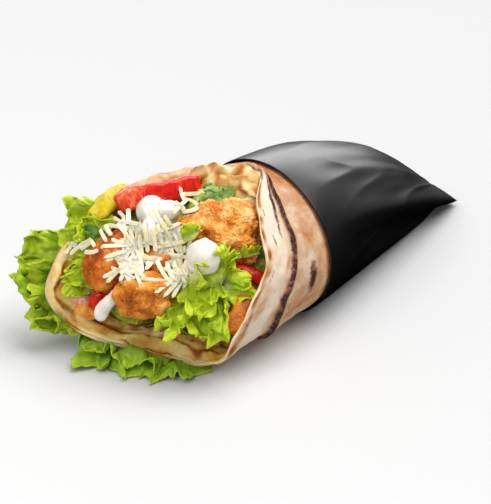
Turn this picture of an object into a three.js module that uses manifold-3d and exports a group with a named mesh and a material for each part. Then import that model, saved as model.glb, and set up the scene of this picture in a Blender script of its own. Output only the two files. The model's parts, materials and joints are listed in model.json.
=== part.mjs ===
// A chicken wrap lying on its side in a black paper sleeve. Millimetres, +Z up.
// X runs along the wrap, from the open mouth (-X) to the sleeve's closed end (+X).
// The far wall of the bread is at +Y. The origin is on the sleeve's flat underside.
import * as THREE from 'three';
import { mergeVertices } from 'three/addons/utils/BufferGeometryUtils.js';
import Module from 'manifold-3d';

const wasm = await Module();
wasm.setup();

// ---- driving dimensions ----
const SLEEVE_LENGTH = 130;       // rim to sealed end
const SLEEVE_WIDTH = 76;         // across the rim
const SLEEVE_HEIGHT = 66.8;      // at the rim, above the table
const SEAM_WIDTH = 32;           // the sealed end is pressed flat
const SEAM_THICKNESS = 2;
const SEAM_SHIFT = 10.6;         // the sealed end leans to the far side
const WIDTH_TAPER = 1.17;        // power of the width's fall towards the seam
const HEIGHT_TAPER = 2.1;        // power of the height's fall towards the seam
const PRESSED_FLAT = 2.6;        // how far the round underside is flattened
const PAPER = 0.8;
const REST_INSET = 30;           // from the rim to the origin
const BREAD = 2.4;               // one ply of flatbread
const THICK_LIP = 3.2;           // extra at the doubled lip, left and below
const THIN_PLY = 1.4;            // the outer ply where it runs on below the mouth
const RIDGE_PITCH = 0.13;        // between the folds, as a share of rim to lip
const TOP_RIDGE = 0.93;          // where the outermost fold stands, as such a share
const LAP_STEP = 1.6;            // the outer ply ends in a step on the near side
const CAVITY_DEPTH = 14;         // how far the filling runs in past the rim
const BED_LEVEL = 2;             // the packed filling's surface, out from the face centre
const BED_REACH = 0.8;           // how near the packed filling comes to the lip
const BED_REACH_NEAR = 0.45;     // the same, behind the high near wall
const GAP = 0.35;                // between neighbouring pieces
const LEAF_GAP = 0.6;            // round a leaf's thin edges
const SLEEVE_GAP = 0.8;          // between the sleeve and the bread inside it

// ---- small helpers ----
const vec = (x, y, z) => new THREE.Vector3(x, y, z);
const { lerp, clamp, smoothstep, degToRad } = THREE.MathUtils;

function seededRandom(seed) {
  let state = seed;
  return () => {
    state = (state * 1664525 + 1013904223) % 4294967296;
    return state / 4294967296;
  };
}

// Smooth bumps over a direction or a place, between about -1 and 1.
function lumps(p, seed, pitch) {
  const x = p.x * pitch + seed * 1.7;
  const y = p.y * pitch + seed * 2.3;
  const z = p.z * pitch + seed * 3.1;
  const coarse = Math.sin(x + 1.3 * Math.sin(y)) + Math.sin(y + 1.7 * Math.sin(z));
  const fine = Math.sin(2.3 * z + 1.1 * Math.sin(2.1 * x)) * 0.6;
  return (coarse + fine) / 2.6;
}

// ---- solids ----
function solidOf(geometry) {
  const merged = mergeVertices(geometry, 1e-4);
  const mesh = new wasm.Mesh({
    numProp: 3,
    vertProperties: new Float32Array(merged.attributes.position.array),
    triVerts: new Uint32Array(merged.index.array),
  });
  return new wasm.Manifold(mesh);
}

function geometryOf(solid) {
  const mesh = solid.getMesh();
  const geometry = new THREE.BufferGeometry();
  geometry.setAttribute('position', new THREE.BufferAttribute(new Float32Array(mesh.vertProperties), 3));
  geometry.setIndex(new THREE.BufferAttribute(new Uint32Array(mesh.triVerts), 1));
  return geometry;
}

function bare(geometry) {
  geometry.deleteAttribute('normal');
  geometry.deleteAttribute('uv');
  return mergeVertices(geometry, 1e-4);
}

function largestOf(solid) {
  const pieces = solid.decompose();
  return pieces.reduce((best, piece) => (piece.volume() > best.volume() ? piece : best));
}

// The largest piece, with points that all but meet merged and what that closes off dropped.
function cleaned(solid) {
  return largestOf(solidOf(geometryOf(largestOf(solid))));
}

// The same solid with every face pushed out, for cutting a neighbour with a gap.
function grown(solid, distance) {
  const geometry = geometryOf(solid);
  geometry.computeVertexNormals();
  const position = geometry.attributes.position;
  const normal = geometry.attributes.normal;
  for (let i = 0; i < position.count; i += 1) {
    position.setXYZ(
      i,
      position.getX(i) + normal.getX(i) * distance,
      position.getY(i) + normal.getY(i) * distance,
      position.getZ(i) + normal.getZ(i) * distance,
    );
  }
  return solidOf(bare(geometry));
}

function boxesMeet(a, b, margin) {
  const boxA = a.boundingBox();
  const boxB = b.boundingBox();
  return [0, 1, 2].every((k) => boxA.min[k] - margin < boxB.max[k] && boxB.min[k] - margin < boxA.max[k]);
}

// A closed skin over a row of rings, with a fan of triangles over each end.
function loft(rings) {
  const count = rings[0].length;
  const points = rings.flat();
  const firstCentre = points.length;
  for (const ring of [rings[0], rings[rings.length - 1]]) {
    points.push(ring.reduce((sum, p) => sum.add(p), vec(0, 0, 0)).divideScalar(count));
  }
  const faces = [];
  for (let r = 0; r + 1 < rings.length; r += 1) {
    for (let i = 0; i < count; i += 1) {
      const a = r * count + i;
      const b = r * count + ((i + 1) % count);
      faces.push(a, b, b + count, a, b + count, a + count);
    }
  }
  const lastRow = (rings.length - 1) * count;
  for (let i = 0; i < count; i += 1) {
    const next = (i + 1) % count;
    faces.push(next, i, firstCentre);
    faces.push(lastRow + i, lastRow + next, firstCentre + 1);
  }
  return outwards(points, faces);
}

// Builds the geometry, turned so that its faces point out.
function outwards(points, faces) {
  let volume = 0;
  for (let f = 0; f < faces.length; f += 3) {
    const [a, b, c] = [points[faces[f]], points[faces[f + 1]], points[faces[f + 2]]];
    volume += a.dot(vec().crossVectors(b, c));
  }
  if (volume < 0) {
    faces.reverse();
  }
  const geometry = new THREE.BufferGeometry().setFromPoints(points);
  geometry.setIndex(faces);
  return geometry;
}

// ---- the sleeve's outer form, which the bread inside follows ----
function pouchSection(x, inset) {
  const along = clamp(x / SLEEVE_LENGTH, 0, 1);
  const narrowing = along ** WIDTH_TAPER;
  const full = lerp(SLEEVE_HEIGHT, SEAM_THICKNESS, along ** HEIGHT_TAPER);
  const sunk = (PRESSED_FLAT * full) / SLEEVE_HEIGHT;
  return {
    halfWidth: lerp(SLEEVE_WIDTH, SEAM_WIDTH, narrowing) / 2 - inset,
    halfHeight: (full + sunk) / 2 - inset,
    centreY: SEAM_SHIFT * narrowing,
    centreZ: (full - sunk) / 2,
    floor: inset,
  };
}

// A point of the section in the direction of a polar angle: 0 far side, 90 top.
function sectionPoint(x, section, angle) {
  const reach = 1 / Math.hypot(Math.cos(angle) / section.halfWidth, Math.sin(angle) / section.halfHeight);
  const y = section.centreY + reach * Math.cos(angle);
  const z = section.centreZ + reach * Math.sin(angle);
  return vec(x, y, Math.max(z, section.floor));
}

const SLEEVE_STATIONS = [0, 20, 40, 60, 78, 94, 108, 119, 126, SLEEVE_LENGTH];
const SLEEVE_SIDES = 30;
const INNER_END = 108;

function sleeve() {
  const angles = Array.from({ length: SLEEVE_SIDES }, (_, i) => (i / SLEEVE_SIDES) * 2 * Math.PI);
  const ring = (x, inset) => angles.map((angle) => sectionPoint(x, pouchSection(x, inset), angle));
  const inner = SLEEVE_STATIONS.filter((x) => x <= INNER_END).reverse().map((x) => ring(x, PAPER));
  const outer = SLEEVE_STATIONS.map((x) => ring(x, 0));
  return loft([...inner, ...outer]);
}

// ---- the flatbread ----
// The free edge of the bread, from the top of the rim round the near side, under the
// mouth, up the left and back along the standing far wall.
const LIP = [
  vec(-3, 2, 65.4),
  vec(-21, -16, 63.5),
  vec(-31, -28, 57),
  vec(-38, -37, 47.5),
  vec(-51, -41, 36),
  vec(-60, -41, 25),
  vec(-61, -36, 13.5),
  vec(-59, -23, 5),
  vec(-62, -8, 3.4),
  vec(-70, 5, 4),
  vec(-79, 18, 7.5),
  vec(-84, 33, 13),
  vec(-87.5, 39, 26),
  vec(-79, 40.5, 40),
  vec(-65, 39, 53),
  vec(-50, 34.5, 61.5),
  vec(-28, 30.5, 61),
  vec(-8, 22, 61.5),
];
const LIP_SIDES = 40;
const AXIS_HEIGHT = SLEEVE_HEIGHT / 2;
const BREAD_END = 94;            // the roll's hidden end inside the sleeve
const LAP_EDGE = 0.55;           // where the outer ply steps down, rim to lip
const OUTER_STEPS = [0.2, 0.38, 0.54, 0.56, 0.8, 1];
const INNER_STEPS = [0, 0.3, 0.54, 0.7, 0.8, 0.865, 0.93, 0.96, 1];
const lipCurve = new THREE.CatmullRomCurve3(LIP, true, 'centripetal');
const lip = lipCurve.getSpacedPoints(LIP_SIDES).slice(0, LIP_SIDES);
const lipAngles = lip.map((p) => {
  const angle = Math.atan2(p.z - AXIS_HEIGHT, p.y);
  return angle < 0 ? angle + 2 * Math.PI : angle;
});

// 1 between two polar angles, in degrees, with soft ends.
function between(angle, from, to, soft) {
  const degrees = (angle * 180) / Math.PI;
  return smoothstep(degrees, from - soft, from) * (1 - smoothstep(degrees, to, to + soft));
}

const radial = (angle) => vec(0, Math.cos(angle), Math.sin(angle));

// How thick the bread is at a place between the rim (out 0) and the lip (out 1). Left
// and below it is doubled and folded, and its folds lie in ridges inside the lip. Below
// the mouth the thin outer ply runs on past them.
function plyAt(angle, out) {
  const doubled = Math.max(between(angle, 232, 400, 14), between(angle, -40, 8, 12));
  const ledge = between(angle, 222, 282, 10);
  const ridges = 0.5 + 0.5 * Math.cos(((out - TOP_RIDGE) * 2 * Math.PI) / RIDGE_PITCH);
  const folded = THICK_LIP * doubled * (0.35 + 0.65 * ridges) * smoothstep(out, 0.5, 0.76);
  const atEdge = smoothstep(out, 0.94, 1);
  const edgePly = lerp(BREAD * 0.8 + folded, THIN_PLY, ledge);
  return lerp(BREAD + folded, edgePly, atEdge);
}

// Outer face of the bread in front of the rim.
function breadOuter(out, i) {
  const angle = lipAngles[i];
  const start = sectionPoint(0, pouchSection(0, PAPER + SLEEVE_GAP), angle);
  const point = start.lerp(lip[i], out);
  const recess = LAP_STEP * between(angle, 108, 222, 14) * (1 - (out - LAP_EDGE) * 0.6);
  const lapped = out > LAP_EDGE ? recess : 0;
  const crinkle = Math.sin(i * 2.4) * 0.9 * between(angle, 28, 78, 10) * out * out;
  return point.addScaledVector(radial(angle), crinkle - lapped);
}

function breadInner(out, i, inset) {
  return breadOuter(out, i).addScaledVector(radial(lipAngles[i]), -(plyAt(lipAngles[i], out) + inset));
}

function ringInSleeve(x, inset) {
  return lipAngles.map((angle) => sectionPoint(x, pouchSection(x, PAPER + SLEEVE_GAP + inset), angle));
}

// The inside of the mouth, from the depth of the filling out to a reach near the lip.
function cavityRings(steps, inset) {
  const depth = pouchSection(CAVITY_DEPTH, PAPER + SLEEVE_GAP + BREAD + inset);
  const deep = lipAngles.map((angle) => sectionPoint(CAVITY_DEPTH - inset, depth, angle));
  return [deep, ...steps.map((out) => lip.map((_, i) => breadInner(out, i, inset)))];
}

function flatbread() {
  const hidden = SLEEVE_STATIONS.filter((x) => x <= BREAD_END).reverse();
  const tail = ringInSleeve(BREAD_END + 8, 7);
  const roll = [tail, ...hidden.map((x) => ringInSleeve(x, 0))];
  const front = OUTER_STEPS.map((out) => lip.map((_, i) => breadOuter(out, i)));
  const inner = cavityRings(INNER_STEPS, 0).reverse();
  return solidOf(loft([...roll, ...front, ...inner]));
}

// A cosine or sine pushed towards a square section.
const squared = (v) => Math.sign(v) * Math.abs(v) ** 0.75;

// A band of rounded section along a curve; its width lies along the given direction.
function band(points, { width, thickness, across, steps = 7, sides = 8, taper = 0.5 }) {
  const curve = new THREE.CatmullRomCurve3(points);
  const rings = [];
  for (let s = 0; s <= steps; s += 1) {
    const t = s / steps;
    const centre = curve.getPointAt(t);
    const tangent = curve.getTangentAt(t);
    const side = across.clone().addScaledVector(tangent, -across.dot(tangent)).normalize();
    const face = vec().crossVectors(tangent, side);
    const slim = 1 - taper * Math.abs(2 * t - 1) ** 6;
    const ring = [];
    for (let i = 0; i < sides; i += 1) {
      const angle = ((i + 0.5) / sides) * 2 * Math.PI;
      ring.push(centre.clone()
        .addScaledVector(side, squared(Math.cos(angle)) * 0.5 * width * slim)
        .addScaledVector(face, squared(Math.sin(angle)) * 0.5 * thickness * slim));
    }
    rings.push(ring);
  }
  return solidOf(loft(rings));
}

// ---- places on the open face ----
// The opening is seen from azimuth -45, elevation 30: right, up and out of that view.
const VIEW_AZIMUTH = degToRad(-45);
const VIEW_ELEVATION = degToRad(30);
const OUT = vec(
  Math.sin(VIEW_AZIMUTH) * Math.cos(VIEW_ELEVATION),
  -Math.cos(VIEW_AZIMUTH) * Math.cos(VIEW_ELEVATION),
  Math.sin(VIEW_ELEVATION),
);
const RIGHT = vec(Math.cos(VIEW_AZIMUTH), Math.sin(VIEW_AZIMUTH), 0);
const UP = vec().crossVectors(OUT, RIGHT);
const FACE_CENTRE = vec(-48, 4, 38);

function at(right, up, out) {
  return FACE_CENTRE.clone()
    .addScaledVector(RIGHT, right)
    .addScaledVector(UP, up)
    .addScaledVector(OUT, out);
}

function facing(right, up, out, turn = 0) {
  const matrix = new THREE.Matrix4().makeBasis(RIGHT, UP, OUT);
  matrix.multiply(new THREE.Matrix4().makeRotationZ(degToRad(turn)));
  return matrix.setPosition(at(right, up, out));
}

// ---- the filling's pieces ----
// A knobbly lump: a sphere stretched to its size and pushed in and out.
function lump({ place, size, seed, bumps = 0.16, pitch = 2.6, detail = 4 }) {
  const geometry = bare(new THREE.IcosahedronGeometry(1, detail));
  const position = geometry.attributes.position;
  const p = vec();
  for (let i = 0; i < position.count; i += 1) {
    p.fromBufferAttribute(position, i);
    const push = 1 + bumps * lumps(p, seed, pitch) + bumps * 0.4 * lumps(p, seed + 5, pitch * 2.1);
    position.setXYZ(i, p.x * push * size[0], p.y * push * size[1], p.z * push * size[2]);
  }
  return solidOf(geometry.applyMatrix4(place));
}

// The packed shreds under the pieces. They lie level with the folds inside the lip, and
// deeper behind the high near wall. Every second corner of the bread's rings is enough.
function bed() {
  const corners = lip.map((_, i) => i).filter((i) => i % 2 === 0);
  const reach = (i) => lerp(BED_REACH, BED_REACH_NEAR, between(lipAngles[i], 95, 225, 25));
  const depth = pouchSection(CAVITY_DEPTH, PAPER + SLEEVE_GAP + BREAD + 2 * GAP);
  const rings = [corners.map((i) => sectionPoint(CAVITY_DEPTH - GAP, depth, lipAngles[i]))];
  for (const share of [0, 0.35, 0.7, 1]) {
    rings.push(corners.map((i) => breadInner(share * reach(i), i, 2 * GAP)));
  }
  const edge = rings[rings.length - 1];
  const middle = at(0, -2, BED_LEVEL);
  for (const inward of [0.35, 0.72]) {
    const uneven = (i) => 0.8 * Math.sin(i * 1.9) * (1 - inward);
    rings.push(edge.map((p, i) => p.clone().lerp(middle, inward).addScaledVector(OUT, uneven(i))));
  }
  return solidOf(loft(rings));
}

// A ruffled leaf: a thin sheet from its base line to its frilly edge.
function leaf({ base, edge, ruffles, height, seed, columns = 18, rows = 3, thickness = 0.9 }) {
  const baseCurve = new THREE.CatmullRomCurve3(base);
  const edgeCurve = new THREE.CatmullRomCurve3(edge);
  const middles = [];
  for (let c = 0; c <= columns; c += 1) {
    for (let r = 0; r <= rows; r += 1) {
      const t = c / columns;
      const grow = r / rows;
      const from = baseCurve.getPoint(t);
      const to = edgeCurve.getPoint(t);
      const along = edgeCurve.getTangent(t);
      const normal = vec().crossVectors(along, to.clone().sub(from)).normalize();
      const wave = Math.sin(t * ruffles * 2 * Math.PI + seed) + 0.5 * Math.sin(t * ruffles * 3.7 * Math.PI);
      const notch = 1 + 0.1 * Math.sin(t * ruffles * 4 * Math.PI + seed * 2) * grow;
      const place = from.clone().lerp(to, grow * notch);
      middles.push(place.addScaledVector(normal, wave * height * grow ** 1.3));
    }
  }
  return solidOf(sheet(middles, columns, rows, thickness));
}

// Gives a grid of points a thickness; both faces are split into triangles alike.
function sheet(middles, columns, rows, thickness) {
  const index = (c, r) => c * (rows + 1) + r;
  const skin = new THREE.BufferGeometry().setFromPoints(middles);
  const top = [];
  for (let c = 0; c < columns; c += 1) {
    for (let r = 0; r < rows; r += 1) {
      top.push(index(c, r), index(c + 1, r), index(c + 1, r + 1));
      top.push(index(c, r), index(c + 1, r + 1), index(c, r + 1));
    }
  }
  skin.setIndex(top);
  skin.computeVertexNormals();
  const normals = skin.attributes.normal;
  const points = [];
  for (const side of [0.5, -0.5]) {
    middles.forEach((p, i) => {
      points.push(p.clone().addScaledVector(vec().fromBufferAttribute(normals, i), side * thickness));
    });
  }
  const below = middles.length;
  const faces = [...top];
  for (let f = 0; f < top.length; f += 3) {
    faces.push(top[f] + below, top[f + 2] + below, top[f + 1] + below);
  }
  const rim = [];
  for (let c = 0; c < columns; c += 1) {
    rim.push(index(c, 0));
  }
  for (let r = 0; r < rows; r += 1) {
    rim.push(index(columns, r));
  }
  for (let c = columns; c > 0; c -= 1) {
    rim.push(index(c, rows));
  }
  for (let r = rows; r > 0; r -= 1) {
    rim.push(index(0, r));
  }
  rim.forEach((a, k) => {
    const b = rim[(k + 1) % rim.length];
    faces.push(b, a, a + below, b, a + below, b + below);
  });
  return outwards(points, faces);
}

// One shred of cheese: a bent strip of square section.
function shred(centre, direction, bend, length, width) {
  const half = direction.clone().setLength(length / 2);
  const points = [centre.clone().sub(half), centre.clone().add(bend), centre.clone().add(half)];
  return band(points, { width, thickness: width * 0.8, across: OUT, steps: 2, sides: 4, taper: 0 });
}

// A heap of shreds fused on a small low core.
function cheeseHeap({ place, core, count, spread, length, seed }) {
  const random = seededRandom(seed);
  let heap = lump({ place: facing(...place), size: core, seed, bumps: 0.1, detail: 1 });
  for (let k = 0; k < count; k += 1) {
    const turn = random() * 2 * Math.PI;
    const away = Math.sqrt(random());
    const right = Math.cos(turn) * away * spread[0];
    const up = Math.sin(turn) * away * spread[1];
    const rise = core[2] * Math.sqrt(1 - away * away * 0.9) + random() * 1.2 - 0.4;
    const centre = at(place[0] + right, place[1] + up, place[2] + rise);
    const heading = random() * Math.PI;
    const direction = RIGHT.clone().multiplyScalar(Math.cos(heading))
      .addScaledVector(UP, Math.sin(heading))
      .addScaledVector(OUT, (random() - 0.5) * 0.5);
    const bend = OUT.clone().multiplyScalar(0.6 + random() * 1.4);
    heap = heap.add(shred(centre, direction, bend, lerp(length[0], length[1], random()), 2));
  }
  return heap;
}

// ---- the assembly, each piece cut back from the ones before it ----
const wrap = new THREE.Group();
wrap.position.x = -REST_INSET;
const placed = [];

function addPiece(name, solid, { color, roughness, clearance = GAP }) {
  let result = solid;
  for (const other of placed) {
    if (boxesMeet(result, other.solid, GAP)) {
      other.cutter = other.cutter || grown(other.solid, other.clearance);
      result = result.subtract(other.cutter);
    }
  }
  result = cleaned(result);
  placed.push({ solid: result, clearance });
  const box = result.boundingBox();
  const centre = vec().fromArray(box.min).add(vec().fromArray(box.max)).multiplyScalar(0.5);
  const geometry = geometryOf(result).translate(-centre.x, -centre.y, -centre.z);
  const material = new THREE.MeshStandardMaterial({ color, roughness, metalness: 0 });
  const mesh = new THREE.Mesh(geometry, material);
  mesh.name = name;
  mesh.position.copy(centre);
  wrap.add(mesh);
}

const PAPER_BLACK = { color: 0x141416, roughness: 0.28 };
const BAKED = { color: 0xe8cfa6, roughness: 0.75 };
const GOLDEN = { color: 0xd08a3c, roughness: 0.6 };
const FRIED = { color: 0xc9782f, roughness: 0.6 };
const SHREDDED = { color: 0x6f9a2e, roughness: 0.7 };
const SAUCE = { color: 0xf6f3ea, roughness: 0.3 };
const TOMATO_FLESH = { color: 0xe5452b, roughness: 0.3 };
const TOMATO_SKIN = { color: 0xc92016, roughness: 0.3 };
const YELLOW_PEPPER = { color: 0xd8b414, roughness: 0.35 };
const GREEN_PEPPER = { color: 0x6a9326, roughness: 0.4 };
const ORANGE_PEPPER = { color: 0xe0922e, roughness: 0.4 };
const ONION = { color: 0xe0a088, roughness: 0.5 };
const CHEESE = { color: 0xf2e8c4, roughness: 0.6 };
const LETTUCE = { color: 0x7fb22a, roughness: 0.6, clearance: LEAF_GAP };
const PARSLEY = { color: 0x2f7a1e, roughness: 0.5, clearance: LEAF_GAP };

addPiece('paper_sleeve', solidOf(sleeve()), PAPER_BLACK);
addPiece('flatbread', flatbread(), BAKED);

// Crumbed chicken: the bite at the back has a small lobe on its left.
const biteBack = lump({ place: facing(21.5, 13.5, 3), size: [14, 13.5, 11], seed: 3 });
const lobe = lump({ place: facing(8, 13.5, 8), size: [7.5, 6, 6], seed: 7, detail: 1 });
const biteLeft = lump({ place: facing(-26.6, -0.8, 8, -25), size: [10.2, 14.2, 10], seed: 11 });
const biteFront = lump({ place: facing(-11, -12.6, 14, 8), size: [12.2, 10.2, 10], seed: 17 });
const biteMiddle = lump({ place: facing(-8, 1, 4), size: [13, 10, 9], seed: 23, detail: 3 });
addPiece('chicken_bite_back', biteBack.add(lobe), GOLDEN);
addPiece('chicken_bite_left', biteLeft, GOLDEN);
addPiece('chicken_bite_front', biteFront, GOLDEN);
addPiece('chicken_bite_middle', biteMiddle, GOLDEN);
const strip = [at(31, -10, 9), at(28.5, -20, 16), at(25, -29.5, 17)];
addPiece('fried_strip', band(strip, { width: 9, thickness: 8, across: RIGHT, sides: 10 }), FRIED);

addPiece('lettuce_bed', bed(), SHREDDED);

// White sauce: two dollops, the back one with a smaller one run into it, and a streak.
function dollop(place, size, seed, detail) {
  return lump({ place: facing(...place), size, seed, bumps: 0.05, detail });
}
const backDollop = dollop([-9.3, 20.4, 9], [6.2, 6.4, 6.5], 4, 2);
const streak = [at(-19, -5, 15), at(-25, -12.5, 15), at(-30.5, -21.5, 10)];
addPiece('sauce_front', dollop([12.1, 2, 24], [7, 7, 7], 2, 3), SAUCE);
addPiece('sauce_back', backDollop.add(dollop([-2.6, 20.4, 9], [4.4, 4.2, 5], 6, 2)), SAUCE);
addPiece('sauce_streak', band(streak, { width: 5.4, thickness: 5, across: RIGHT, taper: 0.7 }), SAUCE);

// Slices and strips of tomato and pepper, each along a short curve.
const slices = [
  {
    name: 'tomato_slice_left',
    finish: TOMATO_FLESH,
    route: [at(-27, 21, -1), at(-21, 26, -5), at(-13, 29, -9)],
    form: { width: 9.5, thickness: 8, across: UP, taper: 0.25 },
  },
  {
    name: 'tomato_slice_back',
    finish: TOMATO_SKIN,
    route: [at(-13, 28.5, -7), at(-2, 30.5, -10), at(10, 34.5, -15)],
    form: { width: 9.5, thickness: 7, across: UP, taper: 0.3 },
  },
  {
    name: 'tomato_slice_right',
    finish: TOMATO_SKIN,
    route: [at(22, -2, 4), at(29, -4.5, 7), at(37, -8, 8)],
    form: { width: 6, thickness: 9, across: UP },
  },
  {
    name: 'yellow_pepper',
    finish: YELLOW_PEPPER,
    route: [at(-34, 17, 0), at(-28, 24, -3), at(-20, 29.5, -8)],
    form: { width: 6, thickness: 6.5, across: OUT },
  },
  {
    name: 'green_pepper_back',
    finish: GREEN_PEPPER,
    route: [at(5, 19.5, 2), at(7.5, 24, 0), at(10.5, 28, -5)],
    form: { width: 5, thickness: 3, across: OUT },
  },
  {
    name: 'green_pepper_front',
    finish: GREEN_PEPPER,
    route: [at(-24.5, -18, 6), at(-19, -21.5, 8), at(-14, -23, 8)],
    form: { width: 4.6, thickness: 4, across: UP },
  },
];
for (const slice of slices) {
  addPiece(slice.name, band(slice.route, slice.form), slice.finish);
}

// Small pieces at the left edge of the filling.
const tomatoPiece = { place: facing(-30, -14, 3, 40), size: [6, 3.2, 4], seed: 9, detail: 2 };
const orangePiece = { place: facing(-36, -20, -1, -25), size: [5.4, 3.2, 3.4], seed: 12, detail: 2 };
const onionPiece = { place: facing(-38.5, -15, -1, -20), size: [4.6, 3, 3.4], seed: 14, detail: 1 };
addPiece('tomato_piece', lump(tomatoPiece), TOMATO_SKIN);
addPiece('orange_pepper', lump(orangePiece), ORANGE_PEPPER);
addPiece('onion_piece', lump(onionPiece), ONION);

const heaps = [
  {
    name: 'grated_cheese',
    place: [-7, 5.5, 14],
    core: [12, 12.5, 4],
    count: 16,
    spread: [14, 15],
    length: [10, 18],
    seed: 31,
  },
  {
    name: 'grated_cheese_left',
    place: [-36, 5, 8],
    core: [5, 2.6, 2.2],
    count: 4,
    spread: [4.5, 3.5],
    length: [7, 12],
    seed: 47,
  },
  {
    name: 'grated_cheese_back',
    place: [4, 25.5, 4],
    core: [3, 3, 2],
    count: 4,
    spread: [4, 5.5],
    length: [7, 12],
    seed: 53,
  },
];
for (const heap of heaps) {
  addPiece(heap.name, cheeseHeap(heap), CHEESE);
}

// Leaves, each from its hidden base line to its ruffled edge.
const leaves = [
  {
    name: 'lettuce_leaf_left',
    base: [vec(-64, 41.6, 42), vec(-70, 41.8, 31), vec(-70, 38.5, 16), vec(-66, 27, 6.5)],
    edge: [at(-52, 13, -10), at(-66, 5, -9), at(-64, -10, -8), at(-58, -27, -7), at(-47, -31, -5)],
    ruffles: 4,
    height: 2.4,
    seed: 1,
  },
  {
    name: 'lettuce_leaf_front',
    base: [vec(-70, 29, 7.5), vec(-64, 14, 2.6), vec(-56, 0, 1.4), vec(-48, -16, 1.4)],
    edge: [vec(-90, 27, 4), vec(-87, 12, 3), vec(-78, -6, 3), vec(-64, -24, 3)],
    ruffles: 4,
    height: 1.3,
    seed: 2,
  },
  {
    name: 'lettuce_leaf_upper_left',
    base: [at(-24, 17, -2), at(-31, 11, -1), at(-35, 0, -1)],
    edge: [at(-31, 24, 1), at(-43, 25, -1), at(-47, 13, -1), at(-43, 6, 2)],
    ruffles: 3,
    height: 1.8,
    seed: 3,
    columns: 14,
  },
  {
    name: 'lettuce_leaf_inner_left',
    base: [at(-36, 4, 1), at(-35, -5, 1), at(-35, -13, 1)],
    edge: [at(-44, 3, 1), at(-46, -6, 2), at(-40, -15, 4)],
    ruffles: 3,
    height: 1.6,
    seed: 4,
    columns: 14,
  },
  {
    name: 'lettuce_leaf_inner_right',
    base: [at(5, -12, 12), at(15, -8, 14), at(24, -6, 14), at(21, 2, 16)],
    edge: [at(-2, -24, 21), at(9, -27, 22), at(20, -25, 21), at(29, -12, 20), at(20, 6, 27)],
    ruffles: 5,
    height: 2.2,
    seed: 5,
    columns: 22,
  },
  {
    name: 'lettuce_leaf_back',
    base: [at(10, 26, -6), at(18, 27, -8), at(26, 28, -8)],
    edge: [at(9, 34, -10), at(19, 37, -14), at(31, 34, -12)],
    ruffles: 3,
    height: 1.5,
    seed: 6,
    columns: 14,
  },
  {
    name: 'parsley_leaf',
    finish: PARSLEY,
    base: [at(-28, 12, 6), at(-31, 13, 6), at(-33, 15, 5)],
    edge: [at(-27, 9, 8), at(-35, 9, 7), at(-37, 15, 5)],
    ruffles: 2,
    height: 1,
    seed: 7,
    columns: 8,
    rows: 2,
  },
  {
    name: 'lettuce_scrap_middle',
    base: [at(4, 8, 16), at(8, 9, 17), at(10, 12, 17)],
    edge: [at(2, 13, 19), at(6, 16, 19), at(10, 16, 19)],
    ruffles: 2,
    height: 1,
    seed: 8,
    columns: 8,
    rows: 2,
  },
  {
    name: 'lettuce_scrap_right',
    base: [at(24, 1, 12), at(29, 2, 12), at(34, 3, 11)],
    edge: [at(24, 5, 14), at(29, 6, 14), at(34, 7, 12)],
    ruffles: 1,
    height: 0.8,
    seed: 9,
    columns: 8,
    rows: 2,
  },
];
for (const shape of leaves) {
  addPiece(shape.name, leaf(shape), shape.finish || LETTUCE);
}

export default wrap;
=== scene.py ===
"""A chicken wrap in a black paper sleeve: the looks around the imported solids."""

import json
import math
import random
from bisect import bisect_right

import bpy
from mathutils import Matrix, Vector, noise
from mathutils.bvhtree import BVHTree

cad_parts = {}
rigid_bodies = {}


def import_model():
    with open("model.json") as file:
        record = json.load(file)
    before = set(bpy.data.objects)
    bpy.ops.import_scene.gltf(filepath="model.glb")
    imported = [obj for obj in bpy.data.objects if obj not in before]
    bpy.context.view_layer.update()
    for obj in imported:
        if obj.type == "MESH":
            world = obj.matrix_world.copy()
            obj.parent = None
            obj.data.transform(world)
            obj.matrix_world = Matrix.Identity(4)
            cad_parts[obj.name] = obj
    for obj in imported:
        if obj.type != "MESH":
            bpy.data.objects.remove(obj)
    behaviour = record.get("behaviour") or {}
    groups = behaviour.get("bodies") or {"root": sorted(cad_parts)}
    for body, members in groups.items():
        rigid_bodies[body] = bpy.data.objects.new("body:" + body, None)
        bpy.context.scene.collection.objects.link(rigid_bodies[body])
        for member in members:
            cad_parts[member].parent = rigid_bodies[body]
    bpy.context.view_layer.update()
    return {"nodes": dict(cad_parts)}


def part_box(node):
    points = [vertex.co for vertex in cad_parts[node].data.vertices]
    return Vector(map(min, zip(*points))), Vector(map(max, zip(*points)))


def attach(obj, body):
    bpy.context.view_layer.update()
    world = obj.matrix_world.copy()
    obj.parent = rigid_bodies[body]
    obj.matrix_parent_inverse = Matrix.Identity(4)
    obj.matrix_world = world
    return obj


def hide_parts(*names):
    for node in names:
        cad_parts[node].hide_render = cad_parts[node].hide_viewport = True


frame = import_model()
bpy.ops.object.select_all(action="DESELECT")
NOISE_SEED = 7             # noise.noise_vector would differ from run to run without one
noise.seed_set(NOISE_SEED)

# ---- sizes, in millimetres; the sleeve's box gives the rest ----
MM = 0.001
SLEEVE_LOW, SLEEVE_HIGH = (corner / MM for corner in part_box("paper_sleeve"))
RIM_X = SLEEVE_LOW.x
SLEEVE_LENGTH = SLEEVE_HIGH.x - SLEEVE_LOW.x
SLEEVE_WIDTH = SLEEVE_HIGH.y - SLEEVE_LOW.y
SLEEVE_HEIGHT = SLEEVE_HIGH.z
SEAM_WIDTH = 32
SEAM_THICKNESS = 1.2
SEAM_SHIFT = 10.6
WIDTH_TAPER = 1.17
HEIGHT_TAPER = 2.1
PRESSED_FLAT = 2.6
PAPER = 0.5
TIP_LIFT = 2.2             # how far the seam's end stands off the table
BREAD_INSET = 1.6          # from the sleeve's outside to the bread inside it
BREAD = 2.4
THICK_LIP = 3.2
THIN_PLY = 1.3
LAP_EDGE = 0.53            # as a share of rim to lip
LAP_STEP = 1.5
FOLD_PITCH = 0.09          # between the soft folds inside the lip, as a share of rim to lip
FOLD_HEIGHT = 2.0
CAVITY_DEPTH = 14

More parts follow.
